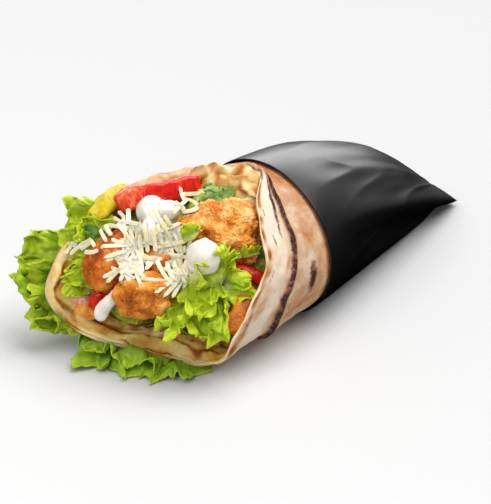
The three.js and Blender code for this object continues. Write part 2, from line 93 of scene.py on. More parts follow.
# ---- the view of the open face, which the filling's places are given in ----
VIEW_AZIMUTH = math.radians(-45)
VIEW_ELEVATION = math.radians(30)
OUT = Vector((
    math.sin(VIEW_AZIMUTH) * math.cos(VIEW_ELEVATION),
    -math.cos(VIEW_AZIMUTH) * math.cos(VIEW_ELEVATION),
    math.sin(VIEW_ELEVATION),
))
RIGHT = Vector((math.cos(VIEW_AZIMUTH), math.sin(VIEW_AZIMUTH), 0))
UP = OUT.cross(RIGHT)
FACE_CENTRE = Vector((RIM_X - 48, 4, 38))


def at(right, up, out):
    """A place on the open face, in millimetres right, up and out from its centre."""
    return FACE_CENTRE + RIGHT * right + UP * up + OUT * out


def rim(x, y, z):
    """A place with X counted from the sleeve's rim."""
    return Vector((RIM_X + x, y, z))


def mix(a, b, share):
    return a + (b - a) * share


def smooth(value, low, high):
    """0 below low, 1 above high, soft between."""
    t = min(1, max(0, (value - low) / (high - low)))
    return t * t * (3 - 2 * t)


def bell(value, centre, width):
    """1 at the centre, falling away softly to both sides."""
    return math.exp(-((value - centre) / width) ** 2)


def wobble(*place):
    """Soft noise between about -1 and 1."""
    return noise.noise(Vector(place))


class Route:
    """A smooth line through points, read by its share of the length."""

    def __init__(self, points, closed=False, steps=16):
        points = [Vector(p) for p in points]
        if closed:
            ring = [points[-1], *points, points[0], points[1]]
        else:
            ring = [points[0] * 2 - points[1], *points, points[-1] * 2 - points[-2]]
        self.points = []
        for a, b, c, d in zip(ring, ring[1:], ring[2:], ring[3:]):
            before, step, after = ((q - p).length ** 0.5 for p, q in ((a, b), (b, c), (c, d)))
            start = ((b - a) / before - (c - a) / (before + step) + (c - b) / step) * step
            end = ((c - b) / step - (d - b) / (step + after) + (d - c) / after) * step
            for k in range(steps):
                t = k / steps
                self.points.append(
                    b * (2 * t**3 - 3 * t**2 + 1) + start * (t**3 - 2 * t**2 + t)
                    + c * (3 * t**2 - 2 * t**3) + end * (t**3 - t**2)
                )
        self.points.append(ring[-2].copy())
        self.lengths = [0]
        for p, q in zip(self.points, self.points[1:]):
            self.lengths.append(self.lengths[-1] + (q - p).length)

    def at(self, share):
        length = min(max(share, 0), 1) * self.lengths[-1]
        k = min(bisect_right(self.lengths, length), len(self.points) - 1)
        part = (length - self.lengths[k - 1]) / (self.lengths[k] - self.lengths[k - 1])
        return self.points[k - 1].lerp(self.points[k], part)

    def heading(self, share, reach=0.02):
        low, high = max(0, share - reach), min(1, share + reach)
        return (self.at(high) - self.at(low)).normalized()


# ---- making pieces ----
def select(piece):
    bpy.ops.object.select_all(action="DESELECT")
    piece.select_set(True)
    bpy.context.view_layer.objects.active = piece


def named(name):
    piece = bpy.context.object
    piece.name = piece.data.name = name
    return piece


def change(piece, kind, **settings):
    """Adds one modifier and applies it."""
    select(piece)
    bpy.ops.object.modifier_add(type=kind)
    modifier = piece.modifiers[-1]
    for key, value in settings.items():
        setattr(modifier, key, value)
    bpy.ops.object.modifier_apply(modifier=modifier.name)


def merge(piece):
    """Closes seams and poles and turns the faces outwards."""
    select(piece)
    bpy.ops.object.mode_set(mode="EDIT")
    bpy.ops.mesh.select_all(action="SELECT")
    bpy.ops.mesh.remove_doubles(threshold=1e-6)
    bpy.ops.mesh.normals_make_consistent(inside=False)
    bpy.ops.object.mode_set(mode="OBJECT")


def join(pieces, name):
    bpy.ops.object.select_all(action="DESELECT")
    for piece in pieces:
        piece.select_set(True)
    bpy.context.view_layer.objects.active = pieces[0]
    if len(pieces) > 1:
        bpy.ops.object.join()
    return named(name)


def shaped_grid(name, columns, rows, place):
    """A grid with each point moved to place(across, along), both counted from 0 to 1."""
    bpy.ops.mesh.primitive_grid_add(x_subdivisions=columns, y_subdivisions=rows, size=1)
    piece = named(name)
    for vertex in piece.data.vertices:
        vertex.co = place(vertex.co.x + 0.5, vertex.co.y + 0.5) * MM
    return piece


def note(piece, name, value):
    """Stores a number at each point, which a material can read; value(index) gives it."""
    attribute = piece.data.attributes.new(name, "FLOAT", "POINT")
    attribute.data.foreach_set("value", [value(k) for k in range(len(piece.data.vertices))])


def place_piece(piece, slot, material, *nodes):
    """Gives a finished piece its material and body."""
    select(piece)
    bpy.ops.object.transform_apply(location=True, rotation=True, scale=True)
    bpy.ops.object.shade_smooth()
    piece.data.materials.clear()
    piece.data.materials.append(material)
    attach(piece, "root")
    if nodes:
        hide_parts(*nodes)


# ---- materials ----
def linear(colour):
    """An sRGB hex colour as the linear values that shaders take."""
    parts = [int(colour[k:k + 2], 16) / 255 for k in (0, 2, 4)]
    return [p / 12.92 if p <= 0.04045 else ((p + 0.055) / 1.055) ** 2.4 for p in parts] + [1]


def per(size):
    """The scale of a pattern whose features are that many millimetres across."""
    return 1 / (size * MM)


def add(tree, kind, sockets=None, output=None, stops=None, **settings):
    """Adds a node, sets and links it, and gives the output that is used."""
    node = tree.nodes.new(kind)
    for key, value in settings.items():
        setattr(node, key, value)
    if stops:
        elements = node.color_ramp.elements
        elements.remove(elements[1])
        elements[0].position, elements[0].color = stops[0][0], linear(stops[0][1])
        for position, colour in stops[1:]:
            elements.new(position).color = linear(colour)
    for key, value in (sockets or {}).items():
        if isinstance(key, int):
            socket = node.inputs[key]
        else:
            socket = next(s for s in node.inputs if s.enabled and s.name == key)
        if isinstance(value, bpy.types.NodeSocket):
            tree.links.new(value, socket)
        else:
            socket.default_value = value
    if output:
        return node.outputs[output]
    return next((s for s in node.outputs if s.enabled), None)


def new_tree(name):
    material = bpy.data.materials.new(name)
    material.use_nodes = True
    material.node_tree.nodes.clear()
    return material, material.node_tree


def coated_paper():
    """Black coated paper: smooth, with broad soft reflections."""
    material, tree = new_tree("coated_paper_black")
    place = add(tree, "ShaderNodeTexCoord", output="Object")
    fibre = add(tree, "ShaderNodeTexNoise", {"Vector": place, "Scale": per(0.9), "Detail": 4})
    handling = add(tree, "ShaderNodeTexNoise", {"Vector": place, "Scale": per(24), "Detail": 3})
    sheen = add(tree, "ShaderNodeMapRange", {"Value": handling, "To Min": 0.3, "To Max": 0.42})
    colour = add(tree, "ShaderNodeValToRGB", {"Fac": handling}, stops=[(0.3, "08080a"), (0.75, "101011")])
    bump = add(tree, "ShaderNodeBump", {"Height": fibre, "Strength": 0.12, "Distance": 0.05 * MM})
    shader = add(tree, "ShaderNodeBsdfPrincipled", {
        "Base Color": colour, "Roughness": sheen, "IOR": 1.45, "Specular IOR Level": 0.4, "Normal": bump,
    })
    add(tree, "ShaderNodeOutputMaterial", {"Surface": shader})
    return material


def baked_flatbread():
    """Griddled wheat flatbread: matt and floury, toasted in patches and scorched on ridges.

    The piece's attributes say how brown a place is baked, how far it is charred, and how far
    inside the mouth it lies, where the dough is yellower; the first two also carry painted
    shade, darker in the creases and grooves of the folded lip and at the sleeve's rim."""
    material, tree = new_tree("griddled_flatbread")
    place = add(tree, "ShaderNodeTexCoord", output="Object")
    toast = add(tree, "ShaderNodeAttribute", output="Fac", attribute_name="toast")
    scorch = add(tree, "ShaderNodeAttribute", output="Fac", attribute_name="scorch")
    inner = add(tree, "ShaderNodeAttribute", output="Fac", attribute_name="inner")
    patches = add(tree, "ShaderNodeTexNoise", {
        "Vector": place, "Scale": per(8), "Detail": 5, "Roughness": 0.62, "Distortion": 0.6,
    })
    freckles = add(tree, "ShaderNodeTexNoise", {"Vector": place, "Scale": per(1.4), "Detail": 4})
    baked = add(tree, "ShaderNodeMath", {0: patches, 1: 1.5, 2: toast}, operation="MULTIPLY_ADD")
    baked = add(tree, "ShaderNodeMath", {0: freckles, 1: 0.3, 2: baked}, operation="MULTIPLY_ADD")
    baked = add(tree, "ShaderNodeMapRange", {"Value": baked, "From Min": 0.6, "From Max": 2.1})
    crust = add(tree, "ShaderNodeValToRGB", {"Fac": baked}, stops=[
        (0.0, "dfceb8"), (0.25, "d0b598"), (0.45, "c09672"), (0.68, "b0703c"), (1.0, "86481f"),
    ])
    dough = add(tree, "ShaderNodeValToRGB", {"Fac": baked}, stops=[
        (0.0, "f3e0a0"), (0.25, "e9c872"), (0.45, "d6a044"), (0.7, "ae6a20"), (1.0, "743810"),
    ])
    colour = add(tree, "ShaderNodeMix", {"Factor": inner, "A": crust, "B": dough}, data_type="RGBA")
    ragged = add(tree, "ShaderNodeTexNoise", {
        "Vector": place, "Scale": per(1.5), "Detail": 4, "Roughness": 0.7,
    })
    char = add(tree, "ShaderNodeMath", {0: ragged, 1: 1.5, 2: scorch}, operation="MULTIPLY_ADD")
    char = add(tree, "ShaderNodeMapRange", {"Value": char, "From Min": 1.05, "From Max": 1.75})
    burnt = add(tree, "ShaderNodeValToRGB", {"Fac": char}, stops=[
        (0.15, "b0713f"), (0.5, "774336"), (1.0, "42272a"),
    ])
    colour = add(tree, "ShaderNodeMix", {"Factor": char, "A": colour, "B": burnt}, data_type="RGBA")
    pores = add(tree, "ShaderNodeTexNoise", {
        "Vector": place, "Scale": per(0.9), "Detail": 5, "Roughness": 0.6,
    })
    blisters = add(tree, "ShaderNodeTexNoise", {"Vector": place, "Scale": per(3.5), "Detail": 2})
    relief = add(tree, "ShaderNodeMath", {0: blisters, 1: 1.6, 2: pores}, operation="MULTIPLY_ADD")
    bump = add(tree, "ShaderNodeBump", {"Height": relief, "Strength": 0.5, "Distance": 0.35 * MM})
    shader = add(tree, "ShaderNodeBsdfPrincipled", {
        "Base Color": colour, "Roughness": 0.62, "IOR": 1.4, "Specular IOR Level": 0.25, "Normal": bump,
        "Subsurface Weight": 0.1, "Subsurface Radius": (1.0, 0.6, 0.35), "Subsurface Scale": 1.5 * MM,
    })
    add(tree, "ShaderNodeOutputMaterial", {"Surface": shader})
    return material


def crumbed_crust(name, low, middle, high, dark):
    """Deep-fried crumb crust: golden, a little oily, paler on the crumbs' tops as painted highlight and
    brown between them as painted shade.
    """
    material, tree = new_tree(name)
    place = add(tree, "ShaderNodeTexCoord", output="Object")
    relief = add(tree, "ShaderNodeAttribute", output="Fac", attribute_name="relief")
    patches = add(tree, "ShaderNodeTexNoise", {
        "Vector": place, "Scale": per(7), "Detail": 4, "Distortion": 0.5,
    })
    grain = add(tree, "ShaderNodeTexNoise", {"Vector": place, "Scale": per(0.6), "Detail": 3})
    # Painted light: relief makes the crumbs' tops paler and the gaps between them darker.
    tone = add(tree, "ShaderNodeMath", {0: patches, 1: 1.1, 2: relief}, operation="MULTIPLY_ADD")
    tone = add(tree, "ShaderNodeMath", {0: grain, 1: 0.3, 2: tone}, operation="MULTIPLY_ADD")
    tone = add(tree, "ShaderNodeMapRange", {"Value": tone, "From Min": 0.7, "From Max": 1.6})
    colour = add(tree, "ShaderNodeValToRGB", {"Fac": tone}, stops=[
        (0.0, dark), (0.28, low), (0.58, middle), (0.95, high),
    ])
    bump = add(tree, "ShaderNodeBump", {"Height": grain, "Strength": 0.5, "Distance": 0.2 * MM})
    shader = add(tree, "ShaderNodeBsdfPrincipled", {
        "Base Color": colour, "Roughness": 0.42, "IOR": 1.45, "Specular IOR Level": 0.3, "Normal": bump,
        "Subsurface Weight": 0.12, "Subsurface Radius": (1.0, 0.45, 0.15), "Subsurface Scale": 1.5 * MM,
    })
    add(tree, "ShaderNodeOutputMaterial", {"Surface": shader})
    return material


def white_sauce():
    """Thick garlic and yoghurt sauce: smooth, wet and faintly translucent."""
    material, tree = new_tree("white_sauce")
    place = add(tree, "ShaderNodeTexCoord", output="Object")
    cloudy = add(tree, "ShaderNodeTexNoise", {"Vector": place, "Scale": per(5), "Detail": 2})
    colour = add(tree, "ShaderNodeValToRGB", {"Fac": cloudy}, stops=[(0.3, "e0dbcd"), (0.7, "ebe6da")])
    bump = add(tree, "ShaderNodeBump", {"Height": cloudy, "Strength": 0.15, "Distance": 0.4 * MM})
    shader = add(tree, "ShaderNodeBsdfPrincipled", {
        "Base Color": colour, "Roughness": 0.22, "IOR": 1.4, "Normal": bump,
        "Subsurface Weight": 0.2, "Subsurface Radius": (1.0, 0.9, 0.75), "Subsurface Scale": 1.2 * MM,
    })
    add(tree, "ShaderNodeOutputMaterial", {"Surface": shader})
    return material


def wet_flesh(name, pale, middle, deep, streak=2.2, roughness=0.2):
    """Cut vegetable flesh: wet and glossy, with pale and deep streaks."""
    material, tree = new_tree(name)
    place = add(tree, "ShaderNodeTexCoord", output="Object")
    stretched = add(tree, "ShaderNodeMapping", {"Vector": place, "Scale": (1, 1, 0.4)})
    streaks = add(tree, "ShaderNodeTexNoise", {
        "Vector": stretched, "Scale": per(streak), "Detail": 3, "Distortion": 0.8,
    })
    cells = add(tree, "ShaderNodeTexNoise", {"Vector": place, "Scale": per(0.8), "Detail": 2})
    colour = add(tree, "ShaderNodeValToRGB", {"Fac": streaks}, stops=[
        (0.3, deep), (0.52, middle), (0.75, pale),
    ])
    bump = add(tree, "ShaderNodeBump", {"Height": cells, "Strength": 0.25, "Distance": 0.2 * MM})
    shader = add(tree, "ShaderNodeBsdfPrincipled", {
        "Base Color": colour, "Roughness": roughness, "IOR": 1.38, "Normal": bump,
        "Subsurface Weight": 0.2, "Subsurface Radius": (1.0, 0.3, 0.15), "Subsurface Scale": 1.5 * MM,
    })
    add(tree, "ShaderNodeOutputMaterial", {"Surface": shader})
    return material


def grated_cheese():
    """Grated hard cheese: ivory, satin, a little translucent."""
    material, tree = new_tree("grated_cheese")
    place = add(tree, "ShaderNodeTexCoord", output="Object")
    tone = add(tree, "ShaderNodeTexNoise", {"Vector": place, "Scale": per(4), "Detail": 3})
    grain = add(tree, "ShaderNodeTexNoise", {"Vector": place, "Scale": per(0.6), "Detail": 3})
    colour = add(tree, "ShaderNodeValToRGB", {"Fac": tone}, stops=[
        (0.3, "f4e2ac"), (0.5, "f8ebc6"), (0.75, "fcf4dc"),
    ])
    bump = add(tree, "ShaderNodeBump", {"Height": grain, "Strength": 0.3, "Distance": 0.12 * MM})
    shader = add(tree, "ShaderNodeBsdfPrincipled", {
        "Base Color": colour, "Roughness": 0.36, "IOR": 1.42, "Normal": bump,
        "Subsurface Weight": 0.6, "Subsurface Radius": (1.0, 0.85, 0.55), "Subsurface Scale": 1.5 * MM,
    })
    add(tree, "ShaderNodeOutputMaterial", {"Surface": shader})
    return material


def fresh_leaf(name, rib, blade, edge, deep):
    """Fresh leaf: satin and thin, pale at the rib, brightest at the frill, with painted shade
    deep in its folds and painted highlight on its crests.

    The piece's UV runs along the frill in X and from the rib out to it in Y, and its
    attribute relief, low in the folds and high on crests, blisters and the frill, paints that shade and
    highlight."""
    material, tree = new_tree(name)
    place = add(tree, "ShaderNodeTexCoord", output="Object")
    layout = add(tree, "ShaderNodeUVMap", uv_map="UVMap")
    grow = add(tree, "ShaderNodeSeparateXYZ", {"Vector": layout}, output="Y")
    relief = add(tree, "ShaderNodeAttribute", output="Fac", attribute_name="relief")
    cloudy = add(tree, "ShaderNodeTexNoise", {"Vector": place, "Scale": per(5), "Detail": 4})
    fan = add(tree, "ShaderNodeMapping", {"Vector": layout, "Scale": (18, 3, 1)})
    ribs = add(tree, "ShaderNodeTexNoise", {"Vector": fan, "Scale": 1, "Detail": 3, "Distortion": 0.3})
    # Painted light: low relief gives the deep green as painted shade, high relief the paler edge green as
    # painted highlight.
    spread = add(tree, "ShaderNodeMath", {0: cloudy, 1: 0.45, 2: relief}, operation="MULTIPLY_ADD")
    spread = add(tree, "ShaderNodeMapRange", {"Value": spread, "From Min": 0.3, "From Max": 1.05})
    green = add(tree, "ShaderNodeValToRGB", {"Fac": spread}, stops=[(0.0, deep), (0.45, blade), (1.0, edge)])
    stem = add(tree, "ShaderNodeMath", {0: ribs, 1: 0.5, 2: grow}, operation="MULTIPLY_ADD")
    stem = add(tree, "ShaderNodeMapRange", {
        "Value": stem, "From Min": 0.3, "From Max": 0.65, "To Min": 0.6, "To Max": 0,
    })
    colour = add(tree, "ShaderNodeMix", {"Factor": stem, "A": green, "B": linear(rib)}, data_type="RGBA")
    blister = add(tree, "ShaderNodeTexNoise", {"Vector": place, "Scale": per(2.0), "Detail": 3})
    height = add(tree, "ShaderNodeMath", {0: ribs, 1: 0.25, 2: blister}, operation="MULTIPLY_ADD")
    bump = add(tree, "ShaderNodeBump", {"Height": height, "Strength": 0.7, "Distance": 0.5 * MM})
    shader = add(tree, "ShaderNodeBsdfPrincipled", {
        "Base Color": colour, "Roughness": 0.34, "IOR": 1.42, "Specular IOR Level": 0.3, "Normal": bump,
        "Subsurface Weight": 0.15, "Subsurface Radius": (0.8, 1.0, 0.15), "Subsurface Scale": 1 * MM,
    })
    add(tree, "ShaderNodeOutputMaterial", {"Surface": shader})
    return material


def studio_paper():
    """Seamless white background paper."""
    material, tree = new_tree("studio_paper")
    shader = add(tree, "ShaderNodeBsdfPrincipled", {
        "Base Color": linear("cdcdcd"), "Roughness": 0.9, "Specular IOR Level": 0.1,
    })
    add(tree, "ShaderNodeOutputMaterial", {"Surface": shader})
    return material


# ---- the sleeve ----
def pouch_section(x, inset):
    """Half width, half height and centre of the sleeve's section, and its floor."""
    along = min(max(x / SLEEVE_LENGTH, 0), 1)
    narrowing = along**WIDTH_TAPER
    full = mix(SLEEVE_HEIGHT, SEAM_THICKNESS, along**HEIGHT_TAPER)
    sunk = PRESSED_FLAT * full / SLEEVE_HEIGHT
    half_width = mix(SLEEVE_WIDTH, SEAM_WIDTH, narrowing) / 2 - inset
    return half_width, (full + sunk) / 2 - inset, SEAM_SHIFT * narrowing, (full - sunk) / 2, inset


def section_point(x, angle, inset):
    """A point of the section in a polar direction: 0 the far side, a quarter turn the top."""
    half_width, half_height, centre_y, centre_z, floor = pouch_section(x, inset)
    reach = 1 / math.hypot(math.cos(angle) / half_width, math.sin(angle) / half_height)
    height = centre_z + reach * math.sin(angle)
    return rim(x, centre_y + reach * math.cos(angle), max(height, floor))


# The long folds of the near side: height, degrees from the highest one, and half width.
SLEEVE_FOLDS = [(2.6, 0, 10), (-1.4, -36, 22), (-2.0, 24, 14)]


def sleeve():
    """The pouch: a paper tube flattened to a seam, with the long soft folds of its near side."""
    def place(across, along):
        x = SLEEVE_LENGTH * along
        angle = 2 * math.pi * across
        point = section_point(x, angle, 0)
        outward = (point - section_point(x, angle, 1)).normalized()
        upper = smooth(math.sin(angle), -0.55, -0.05)
        slack = smooth(along, 0.02, 0.35) * (1 - smooth(along, 0.9, 1)) * upper
        aside, above = math.cos(angle), math.sin(angle)
        soft = 1.0 * wobble(x / 50, aside * 1.5, above * 1.5 + 3.1)
        soft += 0.5 * wobble(x / 60, aside * 4.2, above * 4.2 + 7.7)
        crease = max(1 - abs(wobble(x / 75, aside * 3.2, above * 3.2 + 12.5)) * 2.6, 0) ** 2
        away = math.degrees(angle) - mix(146, 176, along**0.7)
        fold = sum(height * bell(away, centre, width) for height, centre, width in SLEEVE_FOLDS)
        fold *= smooth(along, 0.02, 0.3) * (1 - smooth(along, 0.88, 1))
        low_fold = bell(math.degrees(angle), 214 + 10 * along, 4) * smooth(along, 0.6, 0.85)
        low_fold *= 1 - smooth(along, 0.95, 1)
        point += outward * (slack * (soft - 0.1 + 0.55 * crease) + fold + 0.5 * low_fold)
        point.z = max(point.z, 0) + TIP_LIFT * smooth(along, 0.7, 1)
        return point

    piece = shaped_grid("sleeve", columns=260, rows=170, place=place)
    merge(piece)
    change(piece, "SOLIDIFY", thickness=PAPER * MM, offset=-1)
    place_piece(piece, "black_paper", coated_paper(), "paper_sleeve")


# ---- the flatbread ----
# Its free edge, from the top of the rim round the near side, under the mouth, up the
# left and back along the standing far wall.
LIP = Route([
    rim(-3, 2, 65.4), rim(-21, -16, 63.5), rim(-30, -28, 57), rim(-36.5, -37, 47.5),
    rim(-49, -41, 36), rim(-58, -41, 25), rim(-60, -36, 13.5), rim(-59, -23, 5),
    rim(-62, -8, 3.4), rim(-70, 5, 4), rim(-79, 18, 7.5), rim(-84, 33, 13),
    rim(-87.5, 39, 26), rim(-79, 40.5, 40), rim(-65, 39, 53), rim(-50, 34.5, 61.5),
    rim(-28, 30.5, 61), rim(-8, 22, 61.5),
], closed=True)
AXIS_HEIGHT = SLEEVE_HEIGHT / 2


def lip_angle(share):
    point = LIP.at(share)
    return math.atan2(point.z - AXIS_HEIGHT, point.y) % (2 * math.pi)


def between(angle, low, high, soft):
    """1 between two polar angles in degrees, with soft ends."""
    degrees = math.degrees(angle)
    return smooth(degrees, low - soft, low) * (1 - smooth(degrees, high, high + soft))


def radial(angle):
    return Vector((0, math.cos(angle), math.sin(angle)))


def ply(angle, out):
    """How thick the bread is between the rim (out 0) and the lip (out 1)."""
    doubled = max(between(angle, 232, 400, 14), between(angle, -40, 8, 12))
    ledge = between(angle, 222, 282, 10)
    folded = THICK_LIP * doubled * smooth(out, 0.55, 0.8) * 0.75
    edge = mix(BREAD * 0.8 + folded + 1.2 * between(angle, 40, 88, 8), THIN_PLY, ledge)
    edge -= 0.7 * between(angle, 118, 210, 14)
    return mix(BREAD + folded, edge, smooth(out, mix(0.9, 0.95, ledge), mix(1, 0.975, ledge)))


def lap_edge(share):
    """Where the outer lap ends, as a share of rim to lip."""
    return LAP_EDGE + 0.025 * wobble(share * 30, 4.2, 0)


def bread_outer(share, out):
    """A point of the bread's outer face."""
    angle = lip_angle(share)
    start = section_point(0, angle, BREAD_INSET)
    point = start.lerp(LIP.at(share), out)
    edge = lap_edge(share)
    near = between(angle, 108, 222, 14)
    lapped = LAP_STEP * near * smooth(out, edge, edge + 0.012) * (1 - (out - edge) * 0.6)
    lifted = 0.9 * near * bell(out, edge, 0.022)
    crinkle = between(angle, 24, 88, 10) * out**2
    crinkle *= 1.9 * wobble(share * 34, 1.5, out * 1.2) + 1.0 * wobble(share * 90, 5.5, out * 2)
    puffed = 0.8 * wobble(point.x / 11, point.y / 11, point.z / 11)
    puffed += 0.35 * wobble(point.x / 4, point.y / 4, point.z / 4)
    puffed += 0.5 * near * wobble(share * 16, out * 3.5, 8.8)
    resting = smooth(point.z, 2, 9)
    return point + radial(angle) * (crinkle - lapped + lifted + puffed * min(1, out * 8) * resting)


def inner_out(along):
    """How far out a row of the inner face lies; the rows are closer together at the lip."""
    return mix(INNER_START, 1, (along / INNER_SHARE) ** 0.6)


def inner_folds(share, out):
    """Thickness of the soft folds inside the doubled lip, and 1 in the creases between them."""
    angle = lip_angle(share)
    folded = max(between(angle, 222, 400, 12), between(angle, -40, 84, 10)) * smooth(out, 0.45, 0.6)
    wander = 2.4 * wobble(share * 9, 3, 3) + 1.2 * wobble(share * 30, out * 6, 1)
    swell = abs(math.sin(math.pi * (out - 1) / FOLD_PITCH + wander))
    swell *= 0.8 + 0.9 * wobble(share * 26, out * 9, 8)
    thickness = FOLD_HEIGHT * folded * abs(swell)**0.6 * (1 - 0.5 * smooth(out, 0.94, 1))
    return thickness, folded * (1 - smooth(swell, 0.05, 0.45))


def bread_inner(share, out):
    angle = lip_angle(share)
    point = bread_outer(share, out) - radial(angle) * (ply(angle, out) + inner_folds(share, out)[0])
    low = between(angle, 215, 340, 20) * smooth(out, 0.3, 0.6)
    rough = 0.5 * wobble(point.x / 6, point.y / 6, point.z / 6 + 9)
    rough += low * 0.9 * wobble(point.x / 3.2, point.y / 3.2, point.z / 3.2)
    rough += low * 0.3 * wobble(point.x / 1.3, point.y / 1.3, 5)
    return point + radial(angle) * rough


INNER_START = -0.25        # where the inner face begins, inside the sleeve; 0 is the rim
INNER_SHARE = 0.34         # of the grid's rows, on the inner face
EDGE_SHARE = 0.5           # the rows up to the end of the rounded lip
OUTER_SHARE = 0.92         # the rows up to the rim; the rest are in the sleeve


def layered(angle):
    """1 where the lip is folded double, so that its edge shows layers."""
    return between(angle, 232, 318, 14)


def groove_at(share, turn):
    """How deep the grooves between the lip's layers are, and how far each layer sticks out."""
    first = 0.36 + 0.09 * wobble(share * 13, 3, 0)
    second = 0.66 + 0.08 * wobble(share * 15, 9, 0)
    deep = bell(turn, first, 0.05) + bell(turn, second, 0.045)
    inner = wobble(share * 17, 21, 0) * (1 - smooth(turn, first - 0.03, first + 0.03))
    outer = wobble(share * 14, 31, 0) * smooth(turn, second - 0.03, second + 0.03)
    return deep * (0.75 + 0.5 * wobble(share * 22, 5, 0)), 1.3 * (inner + outer)


def bread_point(across, along):
    """A point of the bread: along runs from the cavity over the lip and into the sleeve."""
    share = across % 1
    angle = lip_angle(share)
    if along < INNER_SHARE:
        out = inner_out(along)
        if out >= 0:
            return bread_inner(share, out)
        deep = section_point(CAVITY_DEPTH, angle, BREAD_INSET + BREAD)
        return bread_inner(share, 0).lerp(deep, out / INNER_START)
    if along < EDGE_SHARE:
        turn = (along - INNER_SHARE) / (EDGE_SHARE - INNER_SHARE)
        inner, outer = bread_inner(share, 1), bread_outer(share, 1)
        forward = (LIP.at(share) - section_point(0, angle, BREAD_INSET)).normalized()
        middle = (inner + outer) / 2
        half = (outer - inner) / 2
        groove, stick_out = groove_at(share, turn)
        ahead = half.length * math.sin(math.pi * turn) * 0.8
        ahead += layered(angle) * min(1, 4 * turn, 4 - 4 * turn) * (stick_out - 1.5 * groove)
        return middle - half * math.cos(math.pi * turn) + forward * ahead
    if along < OUTER_SHARE:
        return bread_outer(share, 1 - (along - EDGE_SHARE) / (OUTER_SHARE - EDGE_SHARE))
    hidden = (along - OUTER_SHARE) / (1 - OUTER_SHARE)
    point = section_point(CAVITY_DEPTH * hidden, angle, BREAD_INSET + 1.5 * smooth(hidden, 0.1, 0.7))
    return point.lerp(bread_point(across, 0), smooth(hidden, 0.8, 1))


# Scorched marks on the outer face: share round the lip, out, half lengths and strength.
SCORCHES = [
    (0.030, 0.62, 0.025, 0.045, 0.95), (0.062, 0.61, 0.030, 0.045, 1.0), (0.092, 0.635, 0.030, 0.048, 1.1),
    (0.118, 0.66, 0.024, 0.040, 0.9), (0.140, 0.67, 0.018, 0.025, 0.8), (0.150, 0.80, 0.012, 0.022, 0.85),
    (0.245, 0.215, 0.034, 0.050, 1.05), (0.226, 0.24, 0.026, 0.050, 0.95), (0.262, 0.20, 0.024, 0.030, 0.85),
    (0.012, 0.93, 0.030, 0.11, 1.0), (0.105, 0.9, 0.010, 0.022, 0.8), (0.20, 0.86, 0.016, 0.028, 0.6),
    (0.262, 0.93, 0.018, 0.040, 0.7), (0.575, 0.97, 0.026, 0.09, 0.8), (0.695, 0.97, 0.022, 0.09, 0.8),
    (0.86, 0.96, 0.018, 0.08, 0.7), (0.50, 0.40, 0.014, 0.07, 0.7), (0.72, 0.52, 0.015, 0.06, 0.85),
    (0.735, 0.44, 0.010, 0.04, 0.7), (0.81, 0.30, 0.018, 0.035, 0.75), (0.90, 0.62, 0.012, 0.05, 0.8),
    (0.88, 0.35, 0.010, 0.03, 0.6), (0.64, 0.25, 0.016, 0.045, 0.75), (0.67, 0.72, 0.010, 0.03, 0.6),
]
# Toasted patches, the same way.
TOASTED = [
    (0.075, 0.95, 0.030, 0.05, 0.55), (0.125, 0.98, 0.030, 0.04, 0.5), (0.18, 0.95, 0.02, 0.05, 0.35),
    (0.245, 0.84, 0.030, 0.09, 0.55), (0.268, 0.93, 0.030, 0.06, 0.55), (0.10, 0.14, 0.04, 0.16, 0.35),
    (0.155, 0.27, 0.03, 0.10, 0.35), (0.04, 0.3, 0.04, 0.3, 0.4), (0.19, 0.62, 0.02, 0.03, 0.35),
    (0.28, 0.3, 0.03, 0.2, 0.25), (0.72, 0.5, 0.05, 0.16, 0.4), (0.81, 0.3, 0.05, 0.12, 0.4),
    (0.9, 0.6, 0.04, 0.15, 0.45), (0.64, 0.27, 0.05, 0.13, 0.4), (0.5, 0.42, 0.04, 0.2, 0.35),
]


def mark(marks, share, out):
    """The strongest of the marks at a place, 0 to about 1."""
    return max(
        strength * (1 - smooth(math.hypot((share - s) / length, (out - o) / width), 0.3, 1.4))
        for s, o, length, width, strength in marks
    )


def bread_look(across, along):
    """Toast, scorch and inner of a place of the bread's grid."""
    share = across % 1
    angle = lip_angle(share)
    back = between(angle, 20, 92, 10)
    if along < INNER_SHARE:
        out = inner_out(along)
        low = between(angle, 215, 340, 20)
        toast = 0.15 + 0.5 * wobble(share * 20, out * 4, 2) + 0.5 * low * wobble(share * 34, out * 9, 4)
        # Painted shade: the creases between the soft folds are made browner and charred.
        crease = inner_folds(share, out)[1]
        return toast + 0.25 * back + 0.8 * crease, 0.55 * crease, 1 - 0.5 * back
    if along < EDGE_SHARE:
        turn = (along - INNER_SHARE) / (EDGE_SHARE - INNER_SHARE)
        groove, _ = groove_at(share, turn)
        # Painted shade: the grooves between the lip's layers are made browner and mottled with char.
        folds = layered(angle) * min(1.2, groove)
        patch = max(0, wobble(share * 24, turn * 2, 6))
        toast = -0.2 + 0.8 * folds + 1.2 * patch + 0.35 * back
        burnt = 0.8 * folds * max(0, wobble(share * 30, turn * 3, 2)) + mark(SCORCHES, share, 1) * turn
        return toast, burnt, (1 - turn) * (1 - 0.5 * back)
    out = 1 - (along - EDGE_SHARE) / (OUTER_SHARE - EDGE_SHARE)
    near = between(angle, 100, 222, 12)
    edge = lap_edge(share)
    thickness = 0.034 + 0.016 * wobble(share * 26, 2.2, 0)
    line = near * bell(out, edge, thickness)
    # Painted shade: a darker band, drawn as char and toast, where the bread goes into the sleeve's rim.
    rim_line = bell(out, 0, 0.04)
    scorch = max(mark(SCORCHES, share, out), line * (1.05 + 0.3 * wobble(share * 40, 1, 1)), rim_line * 0.6)
    toast = 0.22 * smooth(1 - out, 0.42, 0.52) + 0.5 * line + 0.35 * rim_line + 0.4 * back
    toast += mark(TOASTED, share, out) - 0.25 * near * smooth(out, 0.56, 0.7)
    toast += 1.9 * near * smooth(out, 0.88, 0.99) * max(0, 0.25 + wobble(share * 55, out * 9, 14))
    return toast, scorch, 0


